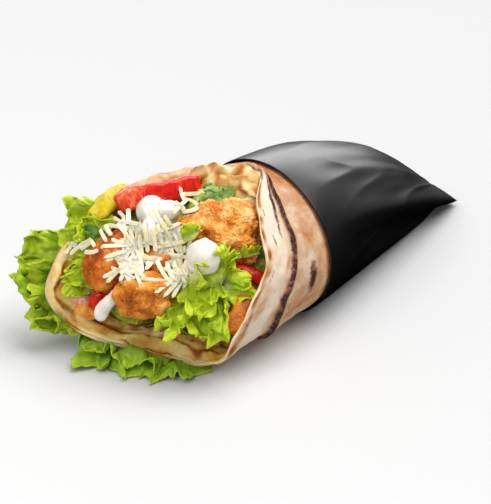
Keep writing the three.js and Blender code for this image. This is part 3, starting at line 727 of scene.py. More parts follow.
# Folded plies of the bread inside the mouth: route, depth, height, depth's direction, how
# yellow and how toasted.
ALONG = Vector((1, 0, 0))
PLIES = [
    ([at(5, 35, -18), at(14, 35.6, -16), at(24, 35, -12), at(34, 33, -7)], 2.6, 10, RIGHT + OUT, 0.55, 0.35),
    ([at(10, 32.5, -14), at(20, 31.5, -10), at(28, 31, -6), at(35, 26, -2)],
     2.2, 7, RIGHT + OUT, 0.55, 0.35),
    ([at(22, 27, -8), at(29, 26, -4), at(35, 20, 0)], 2.2, 7, RIGHT + OUT, 0.6, 0.4),
    ([rim(-60, 21, 12), rim(-52, 8, 11), rim(-46, -6, 11), rim(-42, -20, 12)], 2.6, 6, ALONG, 0.85, 0.45),
    ([rim(-69, 14, 10.5), rim(-60, 2, 9.5), rim(-53, -10, 9.5), rim(-50, -23, 10.5)],
     2.6, 5, ALONG, 0.8, 0.3),
]


def flatbread():
    columns, rows = 360, 220
    piece = shaped_grid("bread", columns, rows, bread_point)
    looks = [bread_look(k % (columns + 1) / columns, k // (columns + 1) / rows)
             for k in range(len(piece.data.vertices))]
    for position, name in enumerate(("toast", "scorch", "inner")):
        note(piece, name, lambda k: looks[k][position])
    merge(piece)
    plies = []
    for seed, (route, depth, height, deep, yellow, toast) in enumerate(PLIES):
        fold = strip("ply", route, depth, height, deep, columns=28, rows=80, uneven=1.4, seed=seed)
        spots = [vertex.co / MM for vertex in fold.data.vertices]
        for vertex, spot in zip(fold.data.vertices, spots):
            vertex.co += noise.noise_vector(spot / 3.5) * min(1.1, 0.3 * height) * MM
        note(fold, "toast", lambda k: toast + 0.9 * noise.noise(spots[k] / 4))
        note(fold, "scorch", lambda k: 0.9 * max(0, noise.noise(spots[k] / 3 + OUT * 9) - 0.15) * yellow)
        note(fold, "inner", lambda k: yellow)
        plies.append(fold)
    place_piece(join([piece, *plies], "bread"), "flatbread", baked_flatbread(), "flatbread")


# ---- camera, light and floor ----
TARGET = Vector((RIM_X - 6.62, 5.56, 25))
CAMERA_DISTANCE = 600
FOCAL_LENGTH = 100
FLOOR_SIZE = 6             # metres
FILL_LIGHT = 0.36          # from all round, above the floor
CEILING_LIGHT = 3.2
CEILING_SOFTNESS = 52      # degrees that the light's disc spans
CEILING_SIDE = Vector((0.38, -0.26, 1.0))
BACKDROP = 0.85            # what the camera sees behind the floor


def studio():
    bpy.ops.mesh.primitive_plane_add(size=FLOOR_SIZE, location=(0, 0, 0))
    floor = named("studio_floor")
    floor.data.materials.append(studio_paper())
    floor.visible_glossy = False       # like a dark card beside the wrap: black paper stays black

    bpy.ops.object.camera_add(location=(TARGET + OUT * CAMERA_DISTANCE) * MM)
    camera = bpy.context.object
    camera.rotation_euler = (-OUT).to_track_quat("-Z", "Y").to_euler()
    camera.data.lens = FOCAL_LENGTH
    camera.data.clip_start = 0.02
    bpy.context.scene.camera = camera

    # name, direction from the wrap, distance, width and height in metres, power in watts
    softboxes = [
        ("mouth_light", Vector((-0.75, -0.1, 0.85)), 1.2, 0.8, 0.8, 6),
        ("sheen_light", Vector((0.65, 0.58, 0.41)), 1.2, 1.5, 0.65, 18),
    ]
    for name, direction, distance, width, height, power in softboxes:
        heading = direction.normalized()
        bpy.ops.object.light_add(type="AREA", location=TARGET * MM + heading * distance)
        light = bpy.context.object
        light.name = light.data.name = name
        light.rotation_euler = heading.to_track_quat("Z", "Y").to_euler()
        light.data.shape = "RECTANGLE"
        light.data.size = width
        light.data.size_y = height
        light.data.energy = power
        light.visible_diffuse = name != "sheen_light"       # it only shows as gloss

    turned = CEILING_SIDE.to_track_quat("Z", "Y").to_euler()
    bpy.ops.object.light_add(type="SUN", rotation=turned)
    light = bpy.context.object
    light.name = light.data.name = "ceiling_light"
    light.data.energy = CEILING_LIGHT
    light.data.angle = math.radians(CEILING_SOFTNESS)

    world = bpy.data.worlds.new("studio")
    world.use_nodes = True
    tree = world.node_tree
    tree.nodes.clear()
    height = add(tree, "ShaderNodeTexCoord", output="Generated")
    height = add(tree, "ShaderNodeSeparateXYZ", {"Vector": height}, output="Z")
    fill = add(tree, "ShaderNodeMapRange", {
        "Value": height, "From Min": -0.02, "From Max": 0.04, "To Min": 0, "To Max": FILL_LIGHT,
    })
    white = linear("ffffff")
    fill = add(tree, "ShaderNodeBackground", {"Color": white, "Strength": fill})
    backdrop = add(tree, "ShaderNodeBackground", {"Color": white, "Strength": BACKDROP})
    seen = add(tree, "ShaderNodeLightPath", output="Is Camera Ray")
    light = add(tree, "ShaderNodeMixShader", {0: seen, 1: fill, 2: backdrop})
    add(tree, "ShaderNodeOutputWorld", {"Surface": light})
    bpy.context.scene.world = world
    bpy.context.scene.view_settings.view_transform = "Standard"


# ---- the filling ----
def lumps(p, seed, pitch):
    """Smooth bumps between about -1 and 1."""
    x, y, z = (p[k] * pitch + seed * step for k, step in enumerate((1.7, 2.3, 3.1)))
    coarse = math.sin(x + 1.3 * math.sin(y)) + math.sin(y + 1.7 * math.sin(z))
    return (coarse + 0.6 * math.sin(2.3 * z + 1.1 * math.sin(2.1 * x))) / 2.6


def facing(right, up, out, turn):
    """A matrix that places a lump on the open face, turned in its plane."""
    frame_of_view = Matrix((RIGHT, UP, OUT)).transposed() @ Matrix.Rotation(math.radians(turn), 3, "Z")
    return Matrix.Translation(at(right, up, out) * MM) @ frame_of_view.to_4x4()


LUMP_PITCH = 2.6           # bumps round a lump
CRUST_VOXEL = 0.28
SAUCE_VOXEL = 0.45
FILLING_VOXEL = 0.8


def lump(place, size, seed, bumps=0.16, turn=0, detail=6):
    """A knobbly ball, stretched to its size on the open face."""
    bpy.ops.mesh.primitive_ico_sphere_add(subdivisions=detail, radius=1)
    piece = bpy.context.object
    for vertex in piece.data.vertices:
        p = vertex.co.copy()
        push = 1 + bumps * lumps(p, seed, LUMP_PITCH)
        push += bumps * 0.4 * lumps(p, seed + 5, LUMP_PITCH * 2.1)
        vertex.co = Vector((p[k] * size[k] * push for k in range(3))) * MM
    piece.data.transform(facing(*place, turn))
    return piece


def crumb_height(p, craggy):
    """Height of a fried crust at a place: swells, clumps, crumbs of uneven size, and grain."""
    warped = p + noise.noise_vector(p / 2.6) * 1.2
    swell = (0.4 + 0.5 * craggy) * noise.noise(p / 5.5)
    rough = 0.35 + 0.65 * smooth(noise.noise(p / 4.2 + Vector((7, 3, 1))), -0.3, 0.35)
    clump = 0.4 * noise.noise(warped / 2.2) + 1.1 * (0.5 - noise.voronoi(warped / 3.2)[0][0])
    crumb = 0.5 - noise.voronoi(warped / 1.15 + Vector((5, 5, 5)))[0][0]
    flake = max(0, noise.noise(warped / 1.0 + Vector((2, 8, 4))))
    grain = noise.noise(p / 0.55)
    fine = 0.35 + 0.65 * craggy
    return swell + craggy * 0.9 * clump + fine * (rough * (1.1 * crumb + 0.6 * flake) + 0.35 * grain)


def crust(piece, craggy):
    """Raises fried crumbs on a smooth piece and notes their relief, which the colour turns into painted
    highlight on top and painted shade between.
    """
    places = [vertex.co / MM for vertex in piece.data.vertices]
    rise = [crumb_height(p, craggy) for p in places]
    select(piece)
    normals = [vertex.normal.copy() for vertex in piece.data.vertices]
    for vertex, normal, height in zip(piece.data.vertices, normals, rise):
        vertex.co += normal * (height - 0.3) * MM
    fine = [crumb_height(p, 1) - 0.9 * noise.noise(p / 6.5) for p in places]
    low, high = min(fine), max(fine)
    note(piece, "relief", lambda k: (fine[k] - low) / (high - low))


def chicken_bite(name, node, material, craggy, lobes):
    piece = join([lump(**lobe) for lobe in lobes], name)
    change(piece, "REMESH", mode="VOXEL", voxel_size=CRUST_VOXEL * MM)
    change(piece, "SMOOTH", factor=0.6, iterations=10)
    crust(piece, craggy)
    place_piece(piece, "fried_chicken", material, node)


def bites():
    golden = crumbed_crust("fried_crumb_golden", "cc741e", "eaa042", "f6cb88", "964a10")
    amber = crumbed_crust("fried_crumb_amber", "bf6612", "df8c2e", "f2bd6c", "8c420c")
    russet = crumbed_crust("fried_crumb_russet", "a84a08", "ca6410", "e2913c", "843a08")
    chicken_bite("bite_back", "chicken_bite_back", golden, 1.0, [
        dict(place=(21.5, 13.5, 3), size=(13.2, 12.4, 10.5), seed=3),
        dict(place=(8, 13.5, 8), size=(7.2, 5.8, 6), seed=7),
        dict(place=(14, 20, 5), size=(6, 5, 5), seed=21),
        dict(place=(26, 5, 8), size=(7, 7, 6), seed=25),
        dict(place=(19, 10, 11), size=(7, 6, 5), seed=27),
    ])
    chicken_bite("bite_left", "chicken_bite_left", russet, 0.3, [
        dict(place=(-26.6, -0.8, 8), size=(9.6, 13.4, 9.4), seed=11, turn=-25),
        dict(place=(-21, 9, 8), size=(5.5, 5.5, 6), seed=33),
    ])
    chicken_bite("bite_front", "chicken_bite_front", amber, 0.3, [
        dict(place=(-11, -12.6, 14), size=(11.8, 9.7, 9.6), seed=17, turn=8),
        dict(place=(-6, -17, 16), size=(5.5, 5, 5), seed=41),
    ])
    chicken_bite("bite_middle", "chicken_bite_middle", amber, 0.35, [
        dict(place=(-8, 1, 4), size=(12.6, 9.6, 8.6), seed=23),
    ])


def strip(
    name, route, width, thickness, across, blunt=5, square=0.75, columns=36, rows=60, uneven=0.3, seed=0,
):
    """A strip of rounded section along a curve, closed and blunt at both ends."""
    line = Route(route)

    def place(around, along):
        angle = 2 * math.pi * around
        heading = line.heading(along)
        side = (across - heading * across.dot(heading)).normalized()
        face = heading.cross(side)
        slim = (1 - min(1, abs(2 * along - 1)) ** blunt) ** (1 / blunt)
        wide = math.copysign(abs(math.cos(angle)) ** square, math.cos(angle)) * width / 2
        thick = math.copysign(abs(math.sin(angle)) ** square, math.sin(angle)) * thickness / 2
        point = line.at(along) + (side * wide + face * thick) * slim
        push = uneven * wobble(point.x / 5 + seed, point.y / 5, point.z / 5)
        return point + (side * wide + face * thick) * slim * push * 0.5

    piece = shaped_grid(name, columns, rows, place)
    merge(piece)
    return piece


def dollop(parts, name, peak=None, uneven=0.5):
    """Sauce squeezed on in soft balls that run together, with a small peak."""
    piece = join([lump(bumps=0.05, **part) for part in parts], name)
    change(piece, "REMESH", mode="VOXEL", voxel_size=SAUCE_VOXEL * MM)
    change(piece, "SMOOTH", factor=0.8, iterations=12)
    for vertex in piece.data.vertices:
        vertex.co += noise.noise_vector(vertex.co / MM / 4.5) * uneven * MM
    if peak:
        tip, away = at(*peak[0]) * MM, peak[1] * MM
        for vertex in piece.data.vertices:
            reach = (vertex.co - tip).length / (peak[2] * MM)
            vertex.co += OUT.lerp(UP, 0.6).normalized() * away * math.exp(-reach * reach)
    return piece


def sauces():
    material = white_sauce()
    front = dollop([
        dict(place=(12.1, 2, 24), size=(7, 7, 7), seed=2),
    ], "dollop_front", peak=((12.6, 7.6, 27), 1.6, 1.8))
    place_piece(front, "white_sauce", material, "sauce_front")
    back = dollop([
        dict(place=(-9.3, 20.4, 9), size=(6.2, 6.4, 6.5), seed=4),
        dict(place=(-2.6, 20.4, 9), size=(4.6, 4.4, 5.2), seed=6),
        dict(place=(-9, 13, 12.5), size=(4, 6.5, 4), seed=8),
    ], "dollop_back")
    place_piece(back, "white_sauce", material, "sauce_back")
    smear = Route([
        (-14.5, -1, 15.8), (-18.2, -5.5, 15.4), (-20.4, -11, 14.4), (-25.5, -15, 13), (-29, -20, 11.2),
    ])

    def smear_ball(share):
        radius = mix(1.7, 3.3, share) * (1 + 0.2 * wobble(share * 9, 2, 7))
        return dict(place=smear.at(share), size=(radius, radius * 1.15, mix(1.3, 1.6, share)), seed=12)

    streak = dollop([smear_ball(k / 9) for k in range(10)], "streak", uneven=1.0)
    place_piece(streak, "white_sauce", material, "sauce_streak")


def vegetables():
    flesh = wet_flesh("tomato_flesh", "f7a184", "ea5230", "d63418", streak=1.8)
    skin = wet_flesh("tomato_red", "ee4a30", "da2414", "b3140c", streak=3.5, roughness=0.14)
    yellow = wet_flesh("yellow_pepper", "e0cb38", "cfb81c", "b0a016", roughness=0.22)
    green = wet_flesh("green_pepper", "bcc24c", "8a9c24", "5e7a14", roughness=0.25)
    orange = wet_flesh("orange_pepper", "f3b865", "e59a3c", "cf7a24", roughness=0.35)
    pink = wet_flesh("pickled_onion", "ecc0ac", "d99a82", "b9705c", roughness=0.35)
    pieces = [
        ("slice_left", "tomato_slice_left", "tomato", flesh, 9.6, 8, UP,
         [at(-24, 22.4, -1), at(-20, 25.4, -4), at(-13, 27.6, -9)]),
        ("slice_back", "tomato_slice_back", "tomato", skin, 9.8, 7, UP,
         [at(-15, 26.8, -6), at(-2, 29, -10), at(9, 32.6, -15)]),
        ("slice_right", "tomato_slice_right", "tomato", skin, 6, 9, UP,
         [at(22, -2, 4), at(29, -4.5, 7), at(37, -8, 8)]),
        ("pepper_yellow", "yellow_pepper", "yellow_pepper", yellow, 7.6, 8.4, OUT,
         [at(-34, 17, 0), at(-28, 24, -3), at(-20, 29.5, -8)]),
        ("pepper_green_back", "green_pepper_back", "green_pepper", green, 4.6, 3.2, OUT,
         [at(5, 19.5, 2), at(7.5, 24, 0), at(10.5, 28, -5)]),
        ("pepper_green_front", "green_pepper_front", "green_pepper", green, 5.4, 4.2, UP,
         [at(-24.5, -18, 6), at(-19, -21.5, 8), at(-14, -23, 8)]),
    ]
    for name, node, slot, material, width, thickness, across, route in pieces:
        piece = strip(name, route, width, thickness, across, square=0.5, columns=48, uneven=0.25)
        place_piece(piece, slot, material, node)
    bits = [
        ("tomato_bit", "tomato_piece", "tomato", skin, (-30, -14, 3), (6, 3.2, 4), 9, 40),
        ("pepper_orange", "orange_pepper", "orange_pepper", orange,
         (-36, -20, -1), (5.4, 3.2, 3.4), 12, -25),
        ("onion_bit", "onion_piece", "onion", pink, (-38.5, -15, -1), (4.6, 3, 3.4), 14, -20),
    ]
    for name, node, slot, material, place, size, seed, turn in bits:
        piece = lump(place, size, seed, bumps=0.09, turn=turn, detail=5)
        piece.name = piece.data.name = name
        place_piece(piece, slot, material, node)


def fried_strip():
    crisp = crumbed_crust("fried_batter", "8f4608", "ad5c10", "cf7e26", "5c2a04")
    piece = strip("fried_piece", [at(29, -10, 11), at(26.5, -20, 18), at(23.5, -29, 20)], 9, 8, RIGHT,
                  columns=90, rows=150)
    crust(piece, 0.3)
    place_piece(piece, "fried_strip", crisp, "fried_strip")


LEAF_THICKNESS = 0.45
LEAF_CLEARANCE = 0.6       # how far above the table leaves end


def leaf_sheet(base, edge, ruffle, height, seed, columns=240, rows=36, curl=0.0, jagged=1.0):
    """A leaf from its hidden base line to a toothed edge, in ruffles of that width and height."""
    root, frill = Route(base), Route(edge)
    length = frill.lengths[-1]

    def place(across, grow):
        start = root.at(across)
        rounded = 0.2 + 0.8 * (1 - abs(2 * across - 1) ** 7) ** 0.6
        reach = (frill.at(across) - start) * rounded
        heading = frill.heading(across)
        face = heading.cross(reach).normalized()
        u, v = across * length / ruffle, grow * reach.length / ruffle * 0.9
        wave = 2.4 * wobble(u, v, seed) * grow**1.1
        wave += 1.8 * wobble(u * 2.2, v * 1.6, seed + 5) * grow**2.2
        wave += 0.9 * wobble(u * 5.1, v * 3, seed + 9) * grow**4
        slide = 2.0 * wobble(u + 31, v, seed) * grow**1.3
        slide += 1.6 * wobble(u * 2.2 + 31, v * 1.6, seed) * grow**3
        lobe = 2.2 * wobble(u * 0.9, 7.5, seed) * grow**2 + 1.2 * wobble(u * 2.4, v, seed + 3) * grow**3
        pitch = u * ruffle / 2.2 + 0.8 * wobble(u * 2, seed, 2)
        tooth = (1 - abs(pitch % 1 * 2 - 1)) * (0.6 + 1.1 * wobble(math.floor(pitch) * 0.37 + 0.1, seed, 9))
        outwards = 1.3 * jagged * height * lobe + 1.9 * tooth * grow**8
        point = start + reach * grow + reach.normalized() * outwards
        point += face * height * (wave + curl * grow**2) + heading * height * slide
        crumple = 1.1 * wobble(point.x / 5.5, point.y / 5.5, point.z / 5.5 + seed) * min(1, height / 2)
        blister = 0.5 * wobble(point.x / 2.4, point.y / 2.4, point.z / 2.4 + seed)
        blister += 0.14 * wobble(point.x / 1.1, point.y / 1.1, point.z / 1.1)
        point += face * (crumple + blister)
        point.z = LEAF_CLEARANCE + math.log1p(math.exp(min(point.z - LEAF_CLEARANCE, 60)))
        # Painted shade and highlight: the relief noted here is low in the ruffles' troughs and creases and
        # high on crests, blisters and the frill's edge.
        relief.append(0.42 + 0.16 * wave + 0.12 * crumple + 0.35 * blister + 0.4 * grow**7)
        return point

    relief = []
    sheet = shaped_grid("sheet", columns, rows, place)
    note(sheet, "relief", lambda k: relief[k])
    change(sheet, "SOLIDIFY", thickness=LEAF_THICKNESS * MM, offset=0)
    return sheet


def leaf(name, slot, material, *sheets, node):
    place_piece(join(sheets, name), slot, material, node)


def leaves():
    bright = fresh_leaf("frilled_lettuce", "dbe0a0", "9db51c", "c3d22c", "5d8212")
    soft = fresh_leaf("lettuce_outer", "dbe0a0", "90ad20", "b8ca30", "527814")
    # The shaded and back palettes below are darker copies of the lettuce greens: painted shade for the leaf
    # lying on the table under the mouth and for the leaf at the back.
    dark = fresh_leaf("lettuce_shaded", "c2d282", "86ab26", "aac634", "568218")
    shady = fresh_leaf("lettuce_back", "8c9c36", "58781a", "8ca42a", "2e4610")
    herb = fresh_leaf("parsley", "5c7d20", "446814", "6a8c20", "2c4a0a")
    leaf("leaf_left", "lettuce", soft,
         leaf_sheet([rim(-64, 41.6, 42), rim(-70, 41.8, 31), rim(-70, 38.5, 16), rim(-66, 27, 6.5)],
                    [at(-51, 16, -10), at(-65, 8, -9), at(-64, -9, -8), at(-58, -27, -7), at(-46, -33, -5)],
                    9, 3.0, 1, columns=300, jagged=0.6),
         leaf_sheet([rim(-70, 42, 28), rim(-72, 40, 17), rim(-70, 32, 8)],
                    [at(-56, 4, -6), at(-60, -9, -4), at(-55, -22, -3), at(-43, -32, -2)],
                    8, 2.8, 11, columns=240, jagged=0.6),
         node="lettuce_leaf_left")
    leaf("leaf_front", "lettuce", dark,
         leaf_sheet([rim(-70, 29, 7.5), rim(-64, 14, 2.6), rim(-56, 0, 1.4), rim(-48, -16, 1.4)],
                    [rim(-90, 27, 4), rim(-87, 12, 3), rim(-78, -6, 3), rim(-64, -24, 3)],
                    9, 3.2, 2, columns=300, curl=0.5),
         leaf_sheet([rim(-68, 24, 5), rim(-62, 10, 2.6), rim(-55, -4, 1.4)],
                    [rim(-86, 20, 9), rim(-80, 4, 8), rim(-71, -10, 5)],
                    8, 2.8, 12, columns=240, curl=0.3),
         node="lettuce_leaf_front")
    leaf("leaf_upper_left", "lettuce", bright,
         leaf_sheet([at(-24, 17, -2), at(-31, 11, -1), at(-35, 0, -1)],
                    [at(-31, 24, 1), at(-43, 25, -1), at(-47, 13, -1), at(-43, 6, 2)], 7, 2.2, 3),
         leaf_sheet([at(-25, 14, 3), at(-30, 9, 3), at(-34, 2, 2)],
                    [at(-31, 19, 5), at(-39, 17, 4), at(-42, 9, 4), at(-40, 3, 4)], 6, 1.8, 13),
         node="lettuce_leaf_upper_left")
    leaf("leaf_inner_left", "lettuce", bright,
         leaf_sheet([at(-36, 4, 1), at(-35, -5, 1), at(-35, -13, 1)],
                    [at(-44, 3, 1), at(-46, -6, 2), at(-40, -15, 4)], 5, 1.7, 4),
         leaf_sheet([at(-34, 2, 3), at(-33, -5, 4), at(-33, -10, 4)],
                    [at(-41, 1, 4), at(-42, -6, 5), at(-37, -13, 6)], 5, 1.6, 14),
         node="lettuce_leaf_inner_left")
    leaf("leaf_inner_right", "lettuce", bright,
         leaf_sheet([at(4, -12, 12), at(8, -10, 14), at(13, -11, 15)],
                    [at(-5, -18, 20), at(-5, -25, 21), at(3, -25, 24), at(10, -16, 26)], 6, 2.6, 5),
         leaf_sheet([at(10, -9, 15), at(16, -8, 15), at(20, -10, 15)],
                    [at(6, -22, 24), at(10, -27, 24), at(19, -27, 22), at(23, -17, 21)], 6, 2.8, 15),
         leaf_sheet([at(12, -12, 18), at(18, -9, 17), at(21, -5, 15)],
                    [at(9, -9, 28), at(12, 1, 31), at(18, 6, 29), at(24, -1, 24)], 6, 2.4, 25),
         leaf_sheet([at(18, -14, 14), at(20, -9, 14), at(20, -5, 14)],
                    [at(23, -18, 21), at(30, -13, 20), at(28, -5, 20), at(20, 0, 21)], 6, 2.4, 35),
         leaf_sheet([at(6, -5, 12), at(12, -5, 14), at(18, -7, 14)],
                    [at(3, -13, 22), at(10, -19, 26), at(18, -18, 25), at(24, -10, 21)], 6, 2.6, 45),
         node="lettuce_leaf_inner_right")
    leaf("leaf_back", "lettuce", shady,
         leaf_sheet([at(10, 26, -6), at(18, 27, -8), at(26, 28, -8)],
                    [at(9, 34, -10), at(19, 37, -14), at(31, 34, -12)], 6, 1.5, 6),
         leaf_sheet([at(10, 22, 2), at(16, 22, 1), at(23, 23, -2)],
                    [at(8, 30, -3), at(14, 33, -6), at(22, 31, -7)], 5, 1.5, 16),
         leaf_sheet([at(19, 25, -3), at(23, 25, -4)],
                    [at(18, 33, -7), at(26, 32, -8)], 9, 0.6, 26, columns=60, rows=20, jagged=0.3),
         node="lettuce_leaf_back")
    leaf("parsley_sprig", "parsley", herb,
         leaf_sheet([at(-28, 12, 6), at(-31, 13, 6), at(-33, 15, 5)],
                    [at(-27, 9, 8), at(-35, 9, 7), at(-37, 15, 5)], 4, 0.9, 7, columns=90, rows=16),
         node="parsley_leaf")
    leaf("scrap_middle", "lettuce", bright,
         leaf_sheet([at(4, 8, 16), at(8, 9, 17), at(10, 12, 17)],
                    [at(2, 13, 19), at(6, 16, 19), at(10, 16, 19)], 4, 1.1, 8, columns=90, rows=16),
         node="lettuce_scrap_middle")
    leaf("scrap_right", "lettuce", bright,
         leaf_sheet([at(24, 1, 12), at(29, 2, 12), at(34, 3, 11)],
                    [at(24, 5, 14), at(29, 6, 14), at(34, 7, 12)], 4, 1.1, 9, columns=90, rows=16),
         node="lettuce_scrap_right")


def packed_bed():
    """The shredded filling that carries the pieces, seen in the gaps between them."""
    # Its greens are a darker copy of the lettuce's: painted shade for the gaps between the pieces.
    material = fresh_leaf("packed_lettuce", "a4a64c", "74902a", "9cb43a", "46621a")
    node = frame["nodes"]["lettuce_bed"]
    select(node)
    bpy.ops.object.duplicate()
    piece = named("packed_filling")
    piece.parent = None
    merge(piece)
    change(piece, "REMESH", mode="VOXEL", voxel_size=FILLING_VOXEL * MM)
    places = [vertex.co / MM for vertex in piece.data.vertices]
    folds = [0.5 - abs(noise.noise(p / 3.4)) * 2 + 0.5 * noise.noise(p / 1.3) for p in places]
    normals = [vertex.normal.copy() for vertex in piece.data.vertices]
    for vertex, normal, height, p in zip(piece.data.vertices, normals, folds, places):
        shown = p - FACE_CENTRE
        clear = smooth(shown.dot(RIGHT), 6, 12) * smooth(shown.dot(UP), 16, 22)
        clear *= smooth(shown.dot(OUT), -24, -14)
        vertex.co += (normal * (height * 1.3 - 0.9) - OUT * 14 * clear) * MM
    # Painted shade: relief is low, and the colour darker, in the bed's folds.
    note(piece, "relief", lambda k: 0.5 + 0.5 * folds[k])
    shreds = [
        leaf_sheet([rim(-34, -24, 15), rim(-40, -8, 13), rim(-46, 8, 13), rim(-50, 20, 16)],
                   [rim(-45, -28, 20), rim(-51, -10, 18), rim(-57, 6, 18), rim(-62, 20, 20)],
                   6, 1.9, 51, columns=160, rows=28),
        leaf_sheet([rim(-34, -24, 12), rim(-42, -6, 10), rim(-50, 14, 11)],
                   [rim(-48, -28, 14), rim(-54, -8, 13), rim(-63, 12, 13)],
                   6, 1.6, 61, columns=150, rows=28),
    ]
    place_piece(join([piece, *shreds], "packed_filling"), "lettuce", material, "lettuce_bed")


def under(pieces):
    """Trees of what the cheese lies on."""
    trees = []
    for piece in pieces:
        spots = [vertex.co for vertex in piece.data.vertices]
        trees.append(BVHTree.FromPolygons(spots, [face.vertices for face in piece.data.polygons]))
    return trees


RAY_START = 0.06           # metres in front of the face
RAY_LENGTH = 0.12


def height_over(trees, place):
    """How far out the topmost surface lies at a place on the face, in millimetres, or None."""
    start = place * MM + OUT * RAY_START
    hits = [tree.ray_cast(start, -OUT, RAY_LENGTH)[0] for tree in trees]
    heights = [(hit / MM - FACE_CENTRE).dot(OUT) for hit in hits if hit is not None]
    return max(heights, default=None)


# The shreds that show one by one: both ends on the face, right and up.
SHOWN_SHREDS = [
    ((-22.9, 15.5), (-13.5, 1.6)), ((-22.1, 15), (-13, 14.4)), ((-19, 21.4), (-18.4, 15)),
    ((-23.5, 20.5), (-20, 16)), ((-25, 18), (-20.5, 15.5)), ((-4, 18.5), (2, 7.5)),
    ((-5.5, 17.5), (-1.2, 6.4)), ((-12, 16), (-10.5, 3.5)), ((-16, 1.6), (-4.4, 1.0)),
    ((-4.4, 6.4), (5, 8.6)), ((-7.6, 2.1), (0, -9)), ((-4.4, -2.1), (6.8, -8.5)),
    ((-19.4, -1.1), (-10.8, -6.4)), ((-21, -4.8), (-17, -1)), ((-13.5, 11), (-12.5, 2)),
    ((-2, 3), (7, 1)), ((0, -2), (5.5, -9.5)), ((-15, 5), (-12, -4)),
    ((-9, 14), (-7.5, 4)), ((-6.5, 15), (-4.5, 5)), ((-3, 0), (1.5, -8)),
]
# Where the chicken shows through the heap: right, up, half width, half height.
CHEESE_HOLES = [(-10, 4.3, 2.6, 2.2), (-6, -3.9, 4.6, 2.6)]
SHRED_THICKNESS = 0.5
SHOWN_LIFT = 0.3           # how much further out the shreds lie that show one by one
LAYER_STEP = 0.25          # from the pile's top to the middle of the next shred
PILE_STEP = 0.3            # how much more the pile's top rises there
DEFAULT_REST = 6           # where nothing lies below
NEARBY = range(-4, 5)      # the millimetres round a place that cheese rests on
BRIDGING = 2.5             # larger values let the cheese sink further into hollows
HEAP = range(-49, 15), range(-17, 35)      # the part of the face where cheese lies, right and up
STATIONS = [k / 6 for k in range(7)]


def resting_heights(trees):
    """How high cheese rests on what is below, its hollows bridged, for each millimetre of the face."""
    found = {(x, y): height_over(trees, at(x, y, 0)) for x in HEAP[0] for y in HEAP[1]}
    rests = {}
    for x, y in found:
        near = [found.get((x + i, y + j)) for i in NEARBY for j in NEARBY]
        near = [h for h in near if h is not None] or [DEFAULT_REST]
        rests[x, y] = BRIDGING * math.log(sum(math.exp(h / BRIDGING) for h in near) / len(near))
    return rests


def rest_at(rests, spot):
    x, y = math.floor(spot.x), math.floor(spot.y)
    east, north = spot.x - x, spot.y - y
    low = mix(rests.get((x, y), DEFAULT_REST), rests.get((x + 1, y), DEFAULT_REST), east)
    high = mix(rests.get((x, y + 1), DEFAULT_REST), rests.get((x + 1, y + 1), DEFAULT_REST), east)
    return mix(low, high, north)


def laid_shred(rests, pile, first, last, lift, seed):
    """A long flat shred, laid over the ones before it."""
    bend = Vector((wobble(seed * 3.7, 1, 0), wobble(seed * 5.1, 2, 0))) * 1.8
    flat = [Vector(first).lerp(Vector(last), t) + bend * (4 * t * (1 - t)) for t in STATIONS]
    cells = [(round(spot.x), round(spot.y)) for spot in flat]
    layer = sum(pile.get(cell, 0) for cell in cells) / len(cells) + LAYER_STEP
    for x, y in cells:
        for cell in ((x, y), (x + 1, y), (x, y + 1)):
            pile[cell] = max(pile.get(cell, 0), layer + PILE_STEP)
    tip = 0.8 * wobble(seed * 7.7, 4, 1)
    route = [at(spot.x, spot.y, rest_at(rests, spot) + layer + lift + tip * (t - 0.5))
             for spot, t in zip(flat, STATIONS)]
    width = 1.65 + 0.5 * wobble(seed * 1.3, 5, 5)
    tilt = UP * 0.4 * wobble(seed * 2.9, 7, 0) + RIGHT * 0.4 * wobble(seed * 4.3, 8, 0)
    return strip(
        "shred", route, SHRED_THICKNESS, width, OUT + tilt,
        blunt=9, square=0.3, columns=12, rows=16, uneven=0.35, seed=seed,
    )


# Where the rest of the heap lies: centre right and up, half width, half height, how many.
CHEESE_CLUSTERS = [
    (-8, 8, 8, 6, 36), (-1, 1, 7, 7, 34), (-13, 1, 7, 4, 16), (0, -6, 7, 3, 16), (-17, 9, 5, 6, 14),
    (-20, -3, 2, 2, 4),
]


def in_hole(right, up):
    return any(math.hypot((right - x) / w, (up - y) / h) < 1.1 for x, y, w, h in CHEESE_HOLES)


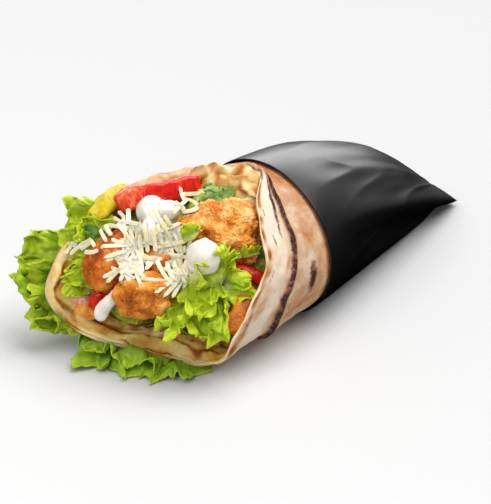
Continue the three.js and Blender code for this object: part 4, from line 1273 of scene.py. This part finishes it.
def cheese(trees):
    material = grated_cheese()
    rests = resting_heights(trees)
    random.seed(31)
    marks = []
    for centre_right, centre_up, half_width, half_height, count in CHEESE_CLUSTERS:
        for _ in range(count):
            turn, away = random.uniform(0, 2 * math.pi), random.random() ** 0.6
            right = centre_right + half_width * away * math.cos(turn)
            up = centre_up + half_height * away * math.sin(turn)
            tilt, half = random.uniform(0, math.pi), random.uniform(5.5, 10.5)
            step = Vector((math.cos(tilt), math.sin(tilt))) * half
            ends = (right - step.x, up - step.y), (right + step.x, up + step.y)
            spots = [Vector(ends[0]).lerp(Vector(ends[1]), t) for t in STATIONS]
            if not any(in_hole(*spot) for spot in spots):
                marks.append((*ends, 0))
    marks += [(first, last, SHOWN_LIFT) for first, last in SHOWN_SHREDS]
    pile = {}
    heap = join([laid_shred(rests, pile, *mark, seed=k) for k, mark in enumerate(marks)], "cheese_heap")
    place_piece(heap, "cheese", material, "grated_cheese")
    bpy.ops.object.shade_flat()        # cut edges stay crisp
    groups = [
        ("cheese_left", "grated_cheese_left", [
            ((-44.5, 3.2), (-41, 8), 0.6), ((-42.5, 2.6), (-33, 9), 0.6), ((-38, 5), (-32.5, 8.5), 0.4),
            ((-30, 13), (-26.5, 8), 0.4), ((-36, 4), (-30, 5), 0.2), ((-34.5, 9), (-31.5, 6), 0.4),
            ((-28, 15), (-24.5, 10.5), 0.2), ((-41.5, 6), (-38.5, 9.5), 0.4),
        ]),
        ("cheese_back", "grated_cheese_back", [
            ((1, 31), (4, 24), 0.4), ((3, 27), (10, 27.5), 0.4), ((-1, 19), (5, 25.5), 0.4),
            ((3, 20), (9.5, 22), 0.4), ((0, 24), (4, 20.5), 0.2), ((5, 25), (9, 22.5), 0.3),
        ]),
    ]
    for name, node, spots in groups:
        pile = {}
        parts = [laid_shred(rests, pile, *spot, seed=len(name) + k) for k, spot in enumerate(spots)]
        place_piece(join(parts, name), "cheese", material, node)
        bpy.ops.object.shade_flat()


studio()
sleeve()
flatbread()
bites()
fried_strip()
packed_bed()
sauces()
vegetables()
leaves()
UNDER_CHEESE = [bpy.data.objects[name] for name in (
    "bite_back", "bite_left", "bite_front", "bite_middle", "dollop_back", "streak",
    "leaf_upper_left", "leaf_inner_left", "slice_back", "slice_left", "pepper_green_back",
)]
cheese(under(UNDER_CHEESE))
